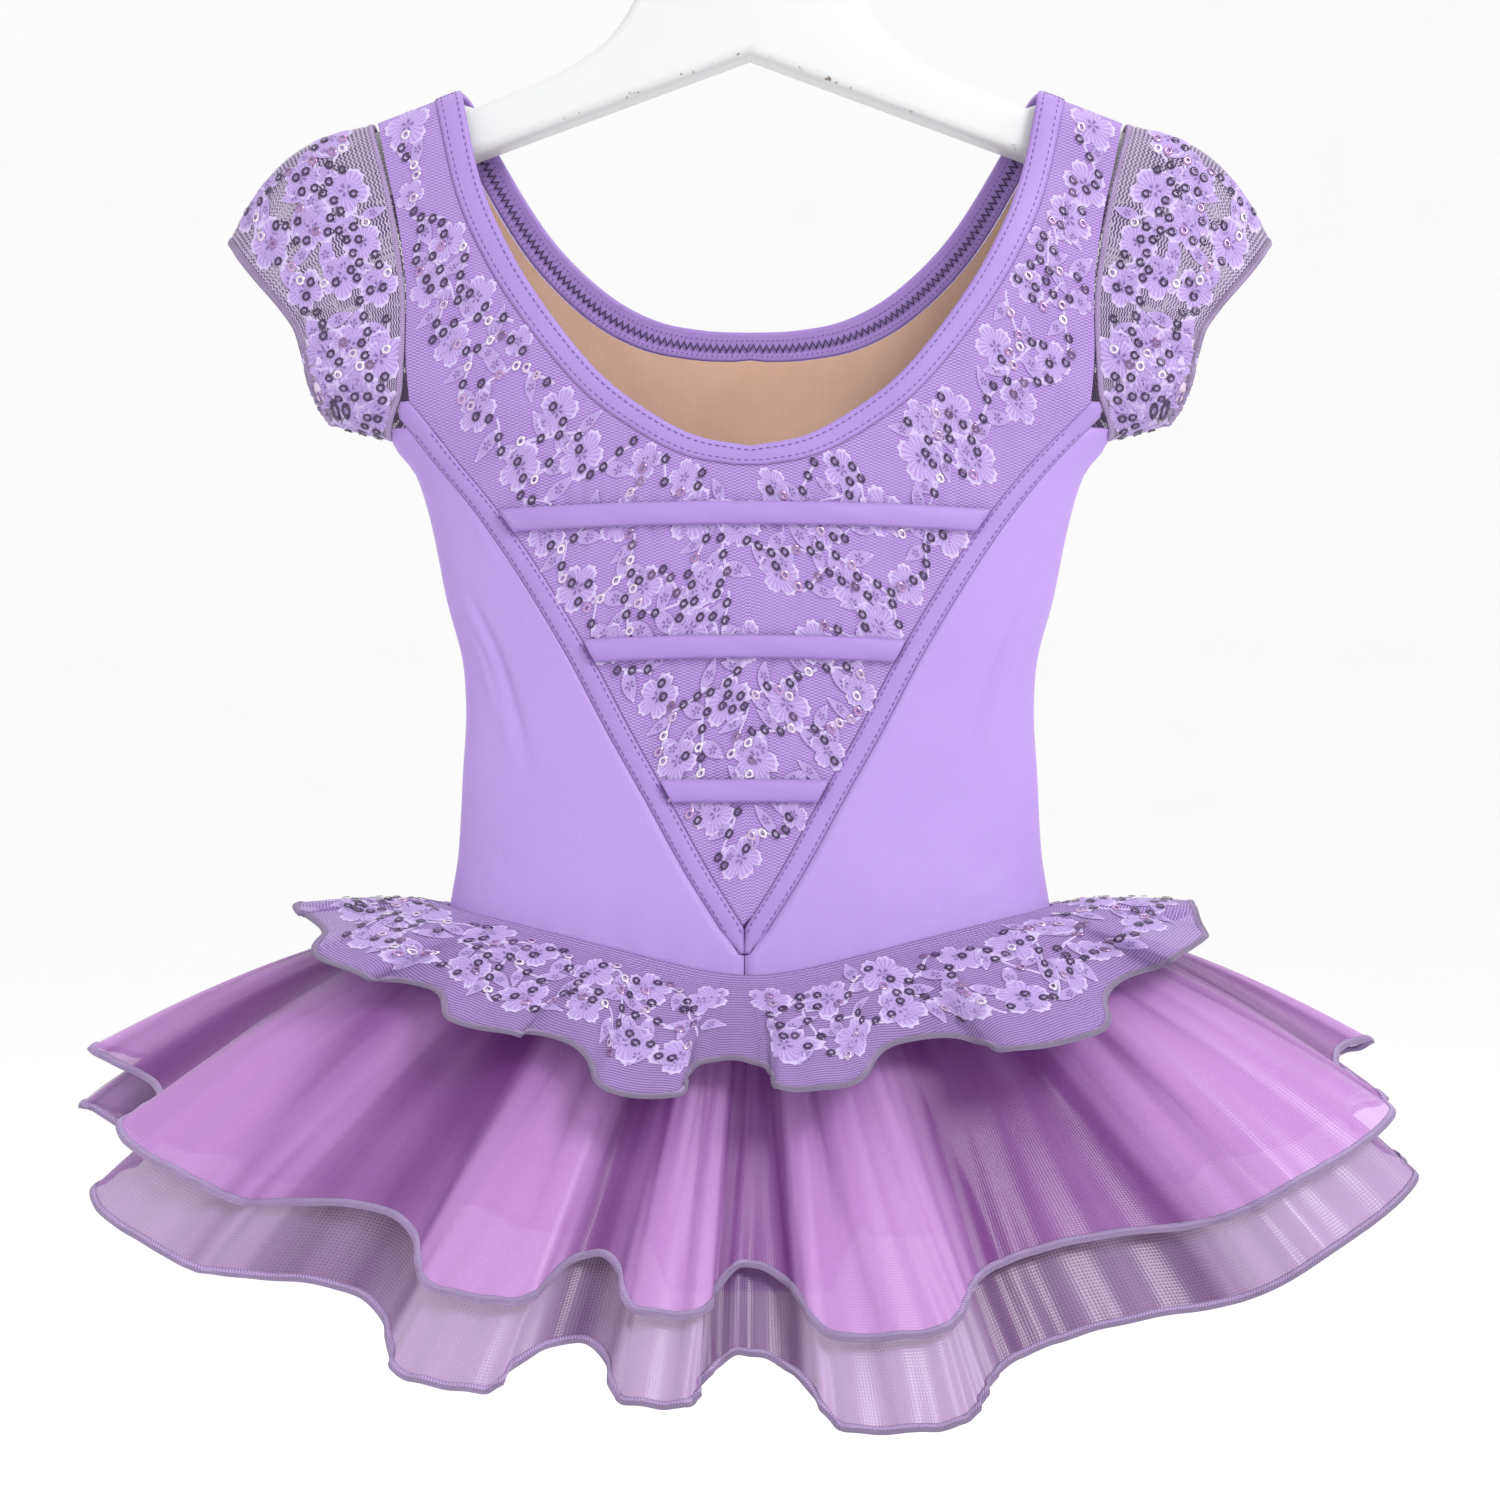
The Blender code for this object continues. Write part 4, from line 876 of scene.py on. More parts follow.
def makeStrips():
    bm = bmesh.new()
    heights = np.concatenate(
        [veeHeights(strips["rows"]), yoke["tip"] - np.linspace(0.5, strips["drop"], strips["tipRows"])])
    for name, node, side in (("stripLeft", "strip_left", -1), ("stripRight", "strip_right", 1)):
        start, end = stripEdges(heights, side)
        rows = []
        for share, out in strips["profile"]:
            spots = place(start + (end - start) * share, heights)
            rows.append(onCloth(spots[:, 0], spots[:, 1], out))
        clothPiece(name, np.array(rows), binding, body["knitWall"], node)
        for share in strips["sewnAt"]:
            spots = place(start + (end - start) * share, heights)[strips["unsewn"]:-strips["unsewn"]]
            sewnRow(bm, spots[:, 0], spots[:, 1], strips["sewnOut"], neck["topStitch"])
    finished("stripStitches", bm, stitchThread, outward=False)


def panelInner(z, side):
    beside = stripEdges(z, side)[1] + side * strips["gap"]
    atSeam = side * body["seam"] / 2 + lean(z)
    below = ease((yoke["tip"] - strips["drop"] - z) / panels["seamMeeting"])
    return beside * (1 - below) + atSeam * below


def bodyEdge(z):
    sideSeam = halfWidth(z) - np.where(z > body["underarm"], body["seam"], 0.0)
    wide = np.where(z >= body["legTop"], sideSeam, legHalfWidth(z))
    return np.arcsin(np.minimum(wide / spread(z), np.cos(panels["sideGap"] / halfDepth(z))))


def briefHeights(start):
    above = np.linspace(start, body["legTop"], round((start - body["legTop"]) / panels["rowStep"]) + 1)
    shares = np.linspace(0, math.pi / 2, panels["legRows"] + 1)[1:]
    return np.concatenate([above, body["legTop"] + (body["crotch"] + 0.05 - body["legTop"]) * np.sin(shares)])


# keeps the foot of the brief clear of the middle plane, where front and back meet
def parted(points, facing):
    least = np.where(points[..., 2] < panels["footTop"], (body["seam"] + body["knitWall"]) / 2, 0.0)
    points[..., 1] = facing * np.maximum(np.abs(points[..., 1]), least)
    return points


def creased(angle, z):
    out = np.zeros(np.broadcast(angle, z).shape)
    for top, topAngle, foot, footAngle, deep, wide in panels["creases"]:
        share = np.clip((top - z) / (top - foot), 0, 1)
        middle = topAngle + (footAngle - topAngle) * share
        away = (np.abs(angle) - middle) * 100 / wide
        fade = np.sin(math.pi * share) ** 0.7
        out = out - deep * fade * np.exp(-(away**2)) + 0.5 * deep * fade * np.exp(-((away - 2.2) ** 2))
    # the skirt seam draws the knit into short upright folds
    level, reach, deep = panels["seamGathers"]
    near = np.exp(-(((z - level) / reach) ** 2))
    gathers = deep * near * np.sin(angle * 46 + 2 * np.sin(angle * 7))
    slack = panels["slack"] * np.sin(z / 17 + angle * 3) * ease((-250 - z) / 40)
    return out + gathers + slack


def makePanels():
    seamTop = yoke["tip"] - strips["drop"]
    for side, hand in ((-1, "Left"), (1, "Right")):
        name, node = "sidePanel" + hand, "front_panel_" + hand.lower()
        upper = np.linspace(panels["top"], seamTop, panels["upperRows"])
        z = np.concatenate([upper, briefHeights(seamTop - panels["seamMeeting"])])[:, None]
        outer = side * bodyEdge(z)
        inner = np.arcsin(panelInner(z, side) / spread(z))
        shares = np.linspace(0, 1, panels["columns"] + 1)
        angle = inner + (outer - inner) * shares
        hold = np.clip(np.minimum(shares, 1 - shares) * 10, 0, 1)
        points = parted(onSection(angle, z + 0 * angle, -1, creased(angle, z) * hold), -1)
        clothPiece(name, points, knit, body["knitWall"], node)


def backTop():
    topRow = neckLines(neckSteps * fineness, body["seam"])[3]
    topRow[0, 1] = yoke["ridgeGap"]
    corner = np.array([body["armholeTop"] - body["seam"], yoke["ridgeGap"]])
    ridge = corner + (topRow[0] - corner) * np.linspace(0, 1, 2 * fineness, endpoint=False)[:, None]
    half = np.vstack([ridge, topRow])
    return np.vstack([half * (-1, 1), half[::-1][1:]])


def backRows(out=0.0):
    topRow = backTop()
    level = body["underarm"]
    edge = bodyEdge(level)
    angles = np.linspace(-edge, edge, len(topRow))
    foot = place(spread(level) * np.sin(angles), level)
    rows = []
    for share in np.linspace(0, 1, panels["backRows"]) ** panels["backCrowding"]:
        run = topRow[:, 1] * (1 - share) + foot[:, 1] * share
        start = topRow[:, 0] / halfWidth(shoulderLine(topRow[:, 0]) - dropOf(topRow[:, 1]))
        part = start * (1 - share) + foot[:, 0] / halfWidth(level) * share
        x = part * body["armholeTop"]
        for _ in range(4):
            x = part * halfWidth(shoulderLine(x) - dropOf(run))
        rows.append(onCloth(x, -run, out))
    z = briefHeights(level)[1:][:, None]
    edge = bodyEdge(z)
    angle = edge * np.linspace(-1, 1, len(topRow))
    sag = out + creased(angle, z) * np.clip((1 - np.abs(np.linspace(-1, 1, len(topRow)))) * 10, 0, 1)
    lower = parted(onSection(angle, z + 0 * angle, 1, sag), 1)
    return np.concatenate([np.array(rows), lower])


def makeBack():
    rows = backRows()
    clothPiece("backPanel", rows, knit, body["knitWall"], "back_panel")
    first, last = panels["liningRows"]
    short = panels["liningShort"] * fineness
    inside = backRows(-(body["knitWall"] / 2 + panels["liningGap"] + body["seam"]))[first:last, short:-short]
    x, z = inside[..., 0], inside[..., 2]
    inside[..., 1] -= 0.3 + 0.35 * np.sin(x / 15 + z / 22) + 0.25 * np.sin(z / 9 - x / 30)
    clothPiece(
        "backLining", inside, lining, panels["liningWall"], "back_lining", outward=False)


makeStrips()
makePanels()
makeBack()
print("body made")


# Straps across the lace

def makeStraps():
    standOff = yoke["wall"] / 2 + straps["standOff"] + straps["wall"] / 2
    for name, ends, middle in straps["rows"]:
        shares = np.linspace(-1, 1, straps["places"])
        rows = []
        for across, out in straps["profile"]:
            z = middle + (ends - middle) * shares**2 + across * straps["wide"]
            half = veeHalf(z) - straps["endGap"]
            x = half * shares + lean(z)
            spots = place(x, z)
            twist = 0.16 * np.sin(x / 5.5 + across * 5 + ends) + 0.1 * np.sin(x / 2.3 - across * 7)
            rows.append(onCloth(spots[:, 0], spots[:, 1], standOff + out - straps["sunk"] + twist))
        first, second = name.split("_")
        clothPiece(
            first + second.title(), np.array(rows), binding, straps["shellWall"], name)


makeStraps()
print("straps made")


# Sleeves

sleeves = {
    # height and reach of the cuff's edge
    "cuff": [
        (-177.7, 191), (-190.5, 181), (-204, 169), (-214, 162.5), (-226, 160), (-237, 157), (-243.6, 153.5),
    ],
    "cuffDepth": 15.0, "topBulge": 9.5, "outBulge": 4.75, "sideBulge": 3.0, "gathers": 12, "gatherHigh": 1.3,
    "wall": 0.5, "around": 216, "along": 44, "crinkle": 0.9, "shift": 0.6, "cloth": (33, 48),
    # each overlocked roll, and where it lies down the sleeve
    "rolls": [("Cuff", 0.985, (300, 1.5, 0.62)), ("Armhole", 0.02, (300, 1.1, 0.62))],
}
cuffReach = curveThrough(*zip(*sleeves["cuff"]))


def sleeveSurface(side):
    def surface(turn, share):
        top = float(shoulderLine(body["armholeTop"]))
        middle, half = (top + body["underarm"]) / 2, (top - body["underarm"]) / 2
        z = middle + half * np.cos(turn)
        x = halfWidth(z) + body["seam"] / 2
        facing = -np.sign(np.sin(turn))
        start = np.stack([x, facing * depth(x - body["seam"], z), z], axis=-1)
        high, low = sleeves["cuff"][0][0], sleeves["cuff"][-1][0]
        z = (high + low) / 2 + (high - low) / 2 * np.cos(turn)
        end = np.stack([cuffReach(z), -sleeves["cuffDepth"] * np.sin(turn), z], axis=-1)
        share = np.asarray(share, float)
        point = start + (end - start) * share[..., None]
        swell = np.sin(math.pi * np.clip(share, 0, 1))
        upper = swell * np.maximum(np.cos(turn), 0)
        gather = sleeves["gatherHigh"] * share**2 * np.sin(sleeves["gathers"] * turn)
        # small creases run up from the gathered underside of the cuff
        under = ease((0.35 - np.cos(turn)) / 1.1)
        crinkle = share**1.5 * under * np.sin(turn * 37 + 3 * np.sin(turn * 5) + share * 2)
        crinkle = sleeves["crinkle"] * crinkle
        cap = 0.7 * np.sin(turn * 19 + 1.2) * np.exp(-share * 6) * (1 - under)
        point[..., 2] += sleeves["topBulge"] * upper + 0.4 * crinkle
        point[..., 0] += sleeves["outBulge"] * upper + sleeves["shift"]
        point[..., 1] -= (sleeves["sideBulge"] * swell + gather + crinkle + cap) * np.sin(turn)
        return point * (side, 1, 1)

    return surface


# an overlocked roll round a piece of cloth; its shape is the count of places, half width and half thickness
def ringRoll(name, surface, at, shape, finish, small):
    turns = ringPlaces(shape[0])
    places = np.full(len(turns), at)
    line = surface(turns, places)
    out = raised(surface, turns, places, np.ones(len(turns)), small) - line
    _, across, out = frames(line, out)
    ring = rollPoints(line, across, out, *shape[1:])
    ring[:, -1] = ring[:, 0]
    clothPiece(name, ring, finish, 0.0, closed=True, outward=False)


def ringGrid(form):
    return np.meshgrid(ringPlaces(form["around"]), np.linspace(0, 1, form["along"] + 1))


def makeSleeves():
    for side, hand in ((-1, "Left"), (1, "Right")):
        surface = sleeveSurface(side)
        turn, share = ringGrid(sleeves)
        uv = np.stack([turn * sleeves["cloth"][0], share * sleeves["cloth"][1]], axis=-1)
        name, node = "sleeve" + hand, "sleeve_" + hand.lower()
        clothPiece(
            name, surface(turn, share), sleeveNet, sleeves["wall"], node, uv=uv, closed=True)
        for label, at, shape in sleeves["rolls"]:
            ringRoll(name + label, surface, at, shape, laceSerging, nearby["sleeve"])


makeSleeves()
print("sleeves made")


# Organza skirt and lace ruffle

skirt = {
    "seamSide": -420.6, "frontDip": 23.0, "backDip": 6.0, "upperStep": 4.0, "lowerStep": 8.0,
    "hemCentre": -2.5, "hemWide": 229.0, "hemDeep": 92.0, "crowding": 0.25, "growth": 1.25, "valley": 1.6,
    # values at the sides, and at the front and back
    "bendOut": (0.45, 0.36), "bendDown": (0.2, 0.42), "lift": (0.3, -0.75), "reach": (1.04, 1.18),
    "drop": (15.0, 4.0),
    "layerGap": 3.6, "meeting": 0.3, "around": 760, "along": 36, "creases": 1.15, "gathers": 0.8,
    "cloth": (150, 115), "roll": (1100, 1.45, 0.7),
    # angle from the centre front and height of the upper hem, before its folds
    "hem": [
        (-180, -541), (-136, -524), (-112, -500), (-90, -476), (-75, -490), (-66, -503), (-57, -517),
        (-45, -527), (-20, -538), (10, -542), (38, -540), (52, -528), (66, -505), (79, -485), (90, -471),
        (112, -497), (136, -524), (180, -541),
    ],
    # angle of each crest from the centre front, height, overlap and lean
    "folds": [
        (-67, 14, 6, 0), (-34, 13, 4, -3), (-12, 8, 1.5, 0), (19, 14, 5, 4), (70, 14, 7, 3), (101, 11, 4, 0),
        (126, 12, 5, 0), (152, 12, 4, 2), (181, 12, 3, 0), (210, 12, 4, -2), (238, 12, 5, 0), (266, 11, 4, 0),
    ],
}
ruffle = {
    "rest": 1.5, "lift": 8.0, "restShare": 0.25, "growth": 1.1, "dip": 7.0, "wall": 0.5, "flutter": 0.8,
    "around": 720, "along": 24,
    # each overlocked roll, and where it lies down the ruffle
    "rolls": [("ruffleEdge", 1.0, (900, 1.3, 0.7)), ("ruffleSeam", 0.0, (500, 1.4, 0.6))],
    # angle, and the ruffle's length as a share of the upper layer's
    "lengths": [
        (-180, 0.42), (-90, 0.4), (-68, 0.44), (-48, 0.42), (-24, 0.52), (-4, 0.42), (17, 0.47), (36, 0.42),
        (54, 0.5), (78, 0.44), (180, 0.42),
    ],
    "folds": [
        (-90, 7, 3, 0), (-69, 10, 4, 0), (-49, 7, 3.5, 0), (-24, 9, 4, 2), (17, 10, 4, -1), (53, 11, 5, 0),
        (77, 8, 4, 0), (99, 6.5, 3, 0), (123, 7, 3.5, 0), (149, 7.5, 3.5, 0), (176, 7.5, 3.5, 0),
        (203, 7.5, 3.5, 0), (228, 7, 2.5, 0), (250, 6.5, 2, 0),
    ],
}
hemHeight, ruffleLength = curveThrough(*zip(*skirt["hem"])), curveThrough(*zip(*ruffle["lengths"]))


def turnDegrees(turn):
    return np.degrees((np.asarray(turn, float) + math.pi) % tau - math.pi)


def foldReader(folds):
    folds = np.array(folds, float)
    wrapped = np.vstack([folds[-2:] - (360, 0, 0, 0), folds, folds[:2] + (360, 0, 0, 0)])
    angles = np.radians(wrapped[:, 0])
    phase = curveThrough(angles, [tau * k for k in range(-2, len(folds) + 2)])
    curves = [curveThrough(angles, wrapped[:, k]) for k in (1, 2, 3)]

    def read(turn):
        turn = (turn + math.pi) % tau - math.pi
        turn = np.where(turn < angles[1], turn + tau, turn)
        return phase(turn), *[curve(turn) for curve in curves]

    return read


# 1 on a crest and -1 in a valley, with crests wider than the valleys
def foldProfile(phase):
    return 1 - 2 * ((1 - np.cos(phase)) / 2) ** skirt["valley"]


skirtFolds, ruffleFolds = foldReader(skirt["folds"]), foldReader(ruffle["folds"])


def sectionAngle(turn):
    return turn - skirt["crowding"] * np.sin(2 * turn)


def mixed(start, end, share):
    return start + (end - start) * share


# the way along the hem
def hemTangent(angle):
    ways = [skirt["hemWide"] * np.cos(angle), skirt["hemDeep"] * np.sin(angle), 0 * angle]
    return unit(np.stack(ways, axis=-1))


def skirtSurface(step, folded=1.0):
    def surface(turn, share):
        turn, share = np.broadcast_arrays(np.asarray(turn, float), np.asarray(share, float))
        angle, frontal = sectionAngle(turn), np.abs(np.cos(turn))
        dip = np.where(np.cos(turn) > 0, skirt["frontDip"], skirt["backDip"])
        z = skirt["seamSide"] - dip * np.cos(turn) ** 2 - step
        out = body["knitWall"] / 2 + body["seam"] + 1.0
        x, y = (halfWidth(z) + out) * np.sin(angle), -(halfDepth(z) + out) * np.cos(angle)
        start = np.stack([x, y, z], axis=-1)
        x, y = skirt["hemCentre"] + skirt["hemWide"] * np.sin(angle), -skirt["hemDeep"] * np.cos(angle)
        end = np.stack([x, y, hemHeight(turnDegrees(turn))], axis=-1)
        bend = start.copy()
        bend[..., :2] += (end - start)[..., :2] * mixed(*skirt["bendOut"], frontal)[..., None]
        bend[..., 2] += (end - start)[..., 2] * mixed(*skirt["bendDown"], frontal)
        within = np.minimum(share, 1)[..., None]
        point = start * (1 - within) ** 2 + bend * 2 * within * (1 - within) + end * within**2
        point = point + (share[..., None] - within) * 2 * (end - bend)
        tangent = hemTangent(angle)
        outward = np.stack([tangent[..., 1], -tangent[..., 0], 0 * angle], axis=-1)
        phase, high, over, leaning = skirtFolds(turn)
        within = within[..., 0]
        grown = folded * within ** skirt["growth"]
        outward[..., 2] = mixed(*skirt["lift"], frontal)
        profile = foldProfile(phase)
        point = point + outward * (high * grown * profile)[..., None]
        sideways = grown * within * (over * np.sin(2 * phase) + leaning * profile)
        return point + tangent * sideways[..., None]

    return surface


upperBase, lowerBase = skirtSurface(skirt["upperStep"]), skirtSurface(skirt["lowerStep"])
ruffleBase = skirtSurface(0.0, 0.0)
tiny = nearby["skirt"]


# the sharper pleats of the organza, which run down to the hem
def pleatOf(turn, share):
    return np.abs(np.sin(turn * 17 + 2.2 * np.sin(turn * 4 + 1) - share))


# creases of the organza: tight gathers at the seam, soft waves, pleats and small waves at the hem
def organzaCreases(turn, share):
    seam = skirt["gathers"] * np.exp(-share * 5) * np.sin(turn * 76 + 2.2 * np.sin(turn * 9))
    soft = np.sin(turn * 31 + 2.4 * np.sin(turn * 4) + share * 1.2) * share
    soft = soft * (0.5 + 0.5 * np.sin(turn * 6 + 1))
    sharp = (1.2 * pleatOf(turn, share) ** 0.5 - 0.5) * np.clip(share, 0, 1) ** 0.7
    fine = np.abs(np.sin(turn * 53 + 3 * np.sin(turn * 3) + 2 * share)) ** 0.5
    fine = 0.35 * fine * np.sin(math.pi * np.clip(share, 0, 1))
    edge = 0.55 * share**4 * np.sin(turn * 97 + 2 * np.sin(turn * 11))
    return seam + skirt["creases"] * (soft + sharp + fine) + edge


# painted shade of the organza: 0 on a crest, towards 1 in valleys and pleats, and darker near the seam under
# the ruffle
def paintedShadeOf(turn, share):
    valley = (0.5 - 0.5 * foldProfile(skirtFolds(turn)[0])) * np.clip(share * 1.6, 0, 1)
    pleat = (1 - pleatOf(turn, share)) ** 2 * np.clip(share * 2, 0, 1)
    # painted shadow of the ruffle over the top of the skirt
    ruffleShadow = np.clip((0.8 - share) / 0.5, 0, 1)
    return np.clip(0.9 * valley + 0.4 * pleat + 0.45 * ruffleShadow, 0, 1)


def upperSurface(turn, share, gap=0.0):
    return raised(upperBase, turn, np.maximum(share, tiny[1]), organzaCreases(turn, share) - gap, tiny)


def lowerSurface(turn, share):
    frontal, part = np.abs(np.cos(turn)), np.asarray(share, float)
    share = part * mixed(*skirt["reach"], frontal)
    near = ease(share / skirt["meeting"])[..., None]
    under = upperSurface(turn, share, skirt["layerGap"])
    under[..., 2] -= mixed(*skirt["drop"], frontal) * part**2
    return lowerBase(turn, share) * (1 - near) + under * near


def ruffleSurface(turn, share):
    along = np.asarray(share, float) * ruffleLength(turnDegrees(turn))
    phase, high, over, leaning = ruffleFolds(turn)
    profile = foldProfile(phase)
    grown = np.maximum(share, 0) ** ruffle["growth"]
    flutter = np.exp(-share * 4) * np.sin(turn * 118) + share * np.sin(turn * 61 + 2 * np.sin(turn * 7))
    rise = ruffle["rest"] + grown * (ruffle["lift"] + high * (1 + profile))
    rise = (rise + 0.6 * ruffle["flutter"] * flutter) * np.minimum(share / ruffle["restShare"], 1)
    turn = np.asarray(turn, float)
    point = ruffleBase(turn, along)
    point[..., 2] -= ruffle["dip"] * grown * profile
    below = np.maximum(along, 0.02)
    risen = raised(ruffleBase, turn, below, rise, tiny) - ruffleBase(turn, below)
    sideways = grown * (over * np.sin(2 * phase) + leaning * profile)
    return point + risen + hemTangent(sectionAngle(turn)) * sideways[..., None]


def makeSkirt():
    layers = (("Upper", upperSurface, upperOrganza), ("Lower", lowerSurface, shadedLowerOrganza))
    for name, surface, finish in layers:
        turn, share = ringGrid(skirt)
        points = surface(turn, share)
        points[:, -1] = points[:, 0]
        uv = np.stack([turn * skirt["cloth"][0], share * skirt["cloth"][1]], axis=-1)
        # each layer carries the painted shade of its folds and of the ruffle above it
        clothPiece(
            "skirt" + name, points, finish, 0.0, "skirt_" + name.lower(), uv=uv,
            closed=True, shade=paintedShadeOf(turn, share))
        ringRoll("skirt" + name + "Hem", surface, 1.0, skirt["roll"], serging, tiny)
    turn, share = ringGrid(ruffle)
    points = ruffleSurface(turn, share)
    points[:, -1] = points[:, 0]
    clothPiece("laceRuffle", points, ruffleNet, ruffle["wall"], "ruffle", closed=True)
    for name, at, shape in ruffle["rolls"]:
        ringRoll(name, ruffleSurface, at, shape, laceSerging, tiny)


makeSkirt()
print("skirt made")


# Lace motifs and sequins

motifs = {
    "seed": 7, "petals": 5, "scallop": 0.34, "flowerSize": (7.4, 9.6), "smaller": (7.0, 5.6, 4.4),
    "yokePitch": 24.0, "yokeRow": 20.5, "yokeTop": -118.0, "yokeRows": 18, "jitter": 4.0,
    "neckPitch": 16.0, "neckFlower": 6.4, "shoulderRow": (-137, -155, -172, -190, -208),
    "leafSize": (4.6, 6.8), "stemWide": 0.5, "sequinRadius": 1.7, "sequinPitch": 6.2, "sequinOff": 2.2,
    "sequinEdge": 2.2, "sequinTilt": 0.12, "sequinApart": 3.6, "sequinLift": 0.55, "sequinHigh": 1.5,
    "flowerHigh": 0.42, "leafHigh": 0.55, "sink": 0.02, "lift": 0.05, "strapClear": 6.0,
    "stemEdge": 1.2, "stemShare": (0.24, 0.76), "stemLeast": 5,
    "yokeColumns": 6, "neckCount": 9, "neckGap": 1.4,
    # start and end of the clear part, and the piece's length down
    "sleeveInside": (0.03, 0.97, 48), "ruffleInside": (0.05, 0.96, 40),
    # flowers this near are joined by a stem, with leaves at two shares of its way, turned from it
    "linkReach": 36.0, "linkPoints": 26, "swing": (3.0, 5.5), "leafPlaces": ((0.4, 0.9), (0.62, -0.9)),
    # rows down the piece, pitch, start and end of the turn, and seed
    "sleeveRows": ((0.22, 0.5, 0.79), 21.0, 0.02, tau - 0.02, 5),
    "ruffleRows": ((0.3, 0.7), 23.0, 0.0, tau - 0.15, 9),
}
flower, sequin = flowerFinish(), sequinFinish()


# a round form, spun from a short profile of radius and height
def spun(profile, steps):
    bm = bmesh.new()
    verts = [bm.verts.new((r, 0, h)) for r, h in profile]
    edges = [bm.edges.new(pair) for pair in zip(verts, verts[1:])]
    bmesh.ops.spin(
        bm, geom=verts + edges, axis=(0, 0, 1), cent=(0, 0, 0), steps=steps, angle=tau, use_merge=True)
    return bm


# a scalloped disc
def flowerForm():
    bm = spun(((0.0, 0.25), (0.24, 0.5), (0.5, 0.22), (0.84, 0.3), (0.92, 0.62), (1.0, 0.1)), 40)
    bmesh.ops.remove_doubles(bm, verts=bm.verts[:], dist=1e-5)
    for vert in bm.verts:
        reach, turn = math.hypot(vert.co.x, vert.co.y), math.atan2(vert.co.y, vert.co.x)
        petal = abs(math.cos(turn * motifs["petals"] / 2))
        wave = 1 - motifs["scallop"] * (1 - petal**0.6) * reach
        fine = 1 + 0.045 * math.cos(turn * 20) * (reach > 0.8)
        vert.co.x, vert.co.y = vert.co.x * wave * fine, vert.co.y * wave * fine
        vert.co.z += 0.18 * petal * reach * (1 - reach)
    return formMesh("flowerForm", bm)


def leafForm():
    bm = bmesh.new()
    grid = bmesh.ops.create_grid(bm, x_segments=8, y_segments=4, size=1.0)["verts"]
    for vert in grid:
        x, y = vert.co.x, vert.co.y
        wide = 0.42 * math.cos(math.pi / 2 * x * 0.98) ** 0.75 * (1 - 0.25 * x)
        vert.co = (x, y * wide, 0.15 + 0.42 * abs(y) ** 2 * (1 - abs(x) ** 4) + 0.12 * (1 - abs(y)))
    return formMesh("leafForm", bm)


def formMesh(name, bm):
    bmesh.ops.recalc_face_normals(bm, faces=bm.faces[:])
    bm.normal_update()
    if sum(face.normal.z for face in bm.faces) < 0:
        bmesh.ops.reverse_faces(bm, faces=bm.faces[:])
    layer = bm.loops.layers.uv.verify()
    for face in bm.faces:
        for loop in face.loops:
            loop[layer].uv = (loop.vert.co.x * mm, loop.vert.co.y * mm)
    mesh = bpy.data.meshes.new(name)
    bm.to_mesh(mesh)
    bm.free()
    return mesh


# lengths of one step of u and of v on a surface
def metric(surface, u, v, small):
    across = surface(u + small[0], v) - surface(u - small[0], v)
    down = surface(u, v + small[1]) - surface(u, v - small[1])
    lengths = np.linalg.norm([across, down], axis=-1)
    return lengths[0] / (2 * small[0]), lengths[1] / (2 * small[1])


# lays copies of a form on a surface; each spot is u, v, size, turn, tilt and tone
def laidOn(bm, form, spots, surface, base, high, small, facing=1.0, toned=False):
    local = np.array([vert.co for vert in form.vertices])
    u, v, size, turn, tilt, tone = np.asarray(spots, float).T[:, :, None]
    us, vs = metric(surface, u[:, 0], v[:, 0], small)
    x = size * (np.cos(turn) * local[:, 0] - np.sin(turn) * local[:, 1])
    y = size * (np.sin(turn) * local[:, 0] + np.cos(turn) * local[:, 1])
    u, v = u + x / us[:, None], v + y / vs[:, None]
    out = facing * (base + high * local[:, 2] + tilt * (x + 0.5 * y))
    points = raised(surface, u.ravel(), v.ravel(), out.ravel(), small).reshape(*u.shape, 3)
    layer = bm.loops.layers.uv.verify()
    for number, block in enumerate(points):
        before, faces = len(bm.verts), len(bm.faces)
        bm.from_mesh(form)
        bm.verts.ensure_lookup_table()
        for vert, spot in zip(bm.verts[before:], block):
            vert.co = spot * mm
        if toned:
            bm.faces.ensure_lookup_table()
            for face in bm.faces[faces:]:
                for loop in face.loops:
                    loop[layer].uv = (tone[number, 0] * mm, 0.5 * mm)


# a thin stitched stem along a path on the surface
def stem(bm, path, surface, base, small, facing=1.0):
    us, vs = metric(surface, path[:, 0], path[:, 1], small)
    along = unit(np.gradient(path, axis=0) * np.stack([us, vs], axis=1))
    side = np.stack([-along[:, 1] / us, along[:, 0] / vs], axis=1) * motifs["stemWide"]
    rows = []
    for share, high in ((-1, 0.0), (0, 0.35), (1, 0.0)):
        at = path + side * share
        rows.append(raised(surface, at[:, 0], at[:, 1], facing * np.full(len(at), base + high), small))
    uv = np.zeros((3, len(path), 2))
    uv[..., 0] = 0.9
    addGrid(bm, np.array(rows), uv)


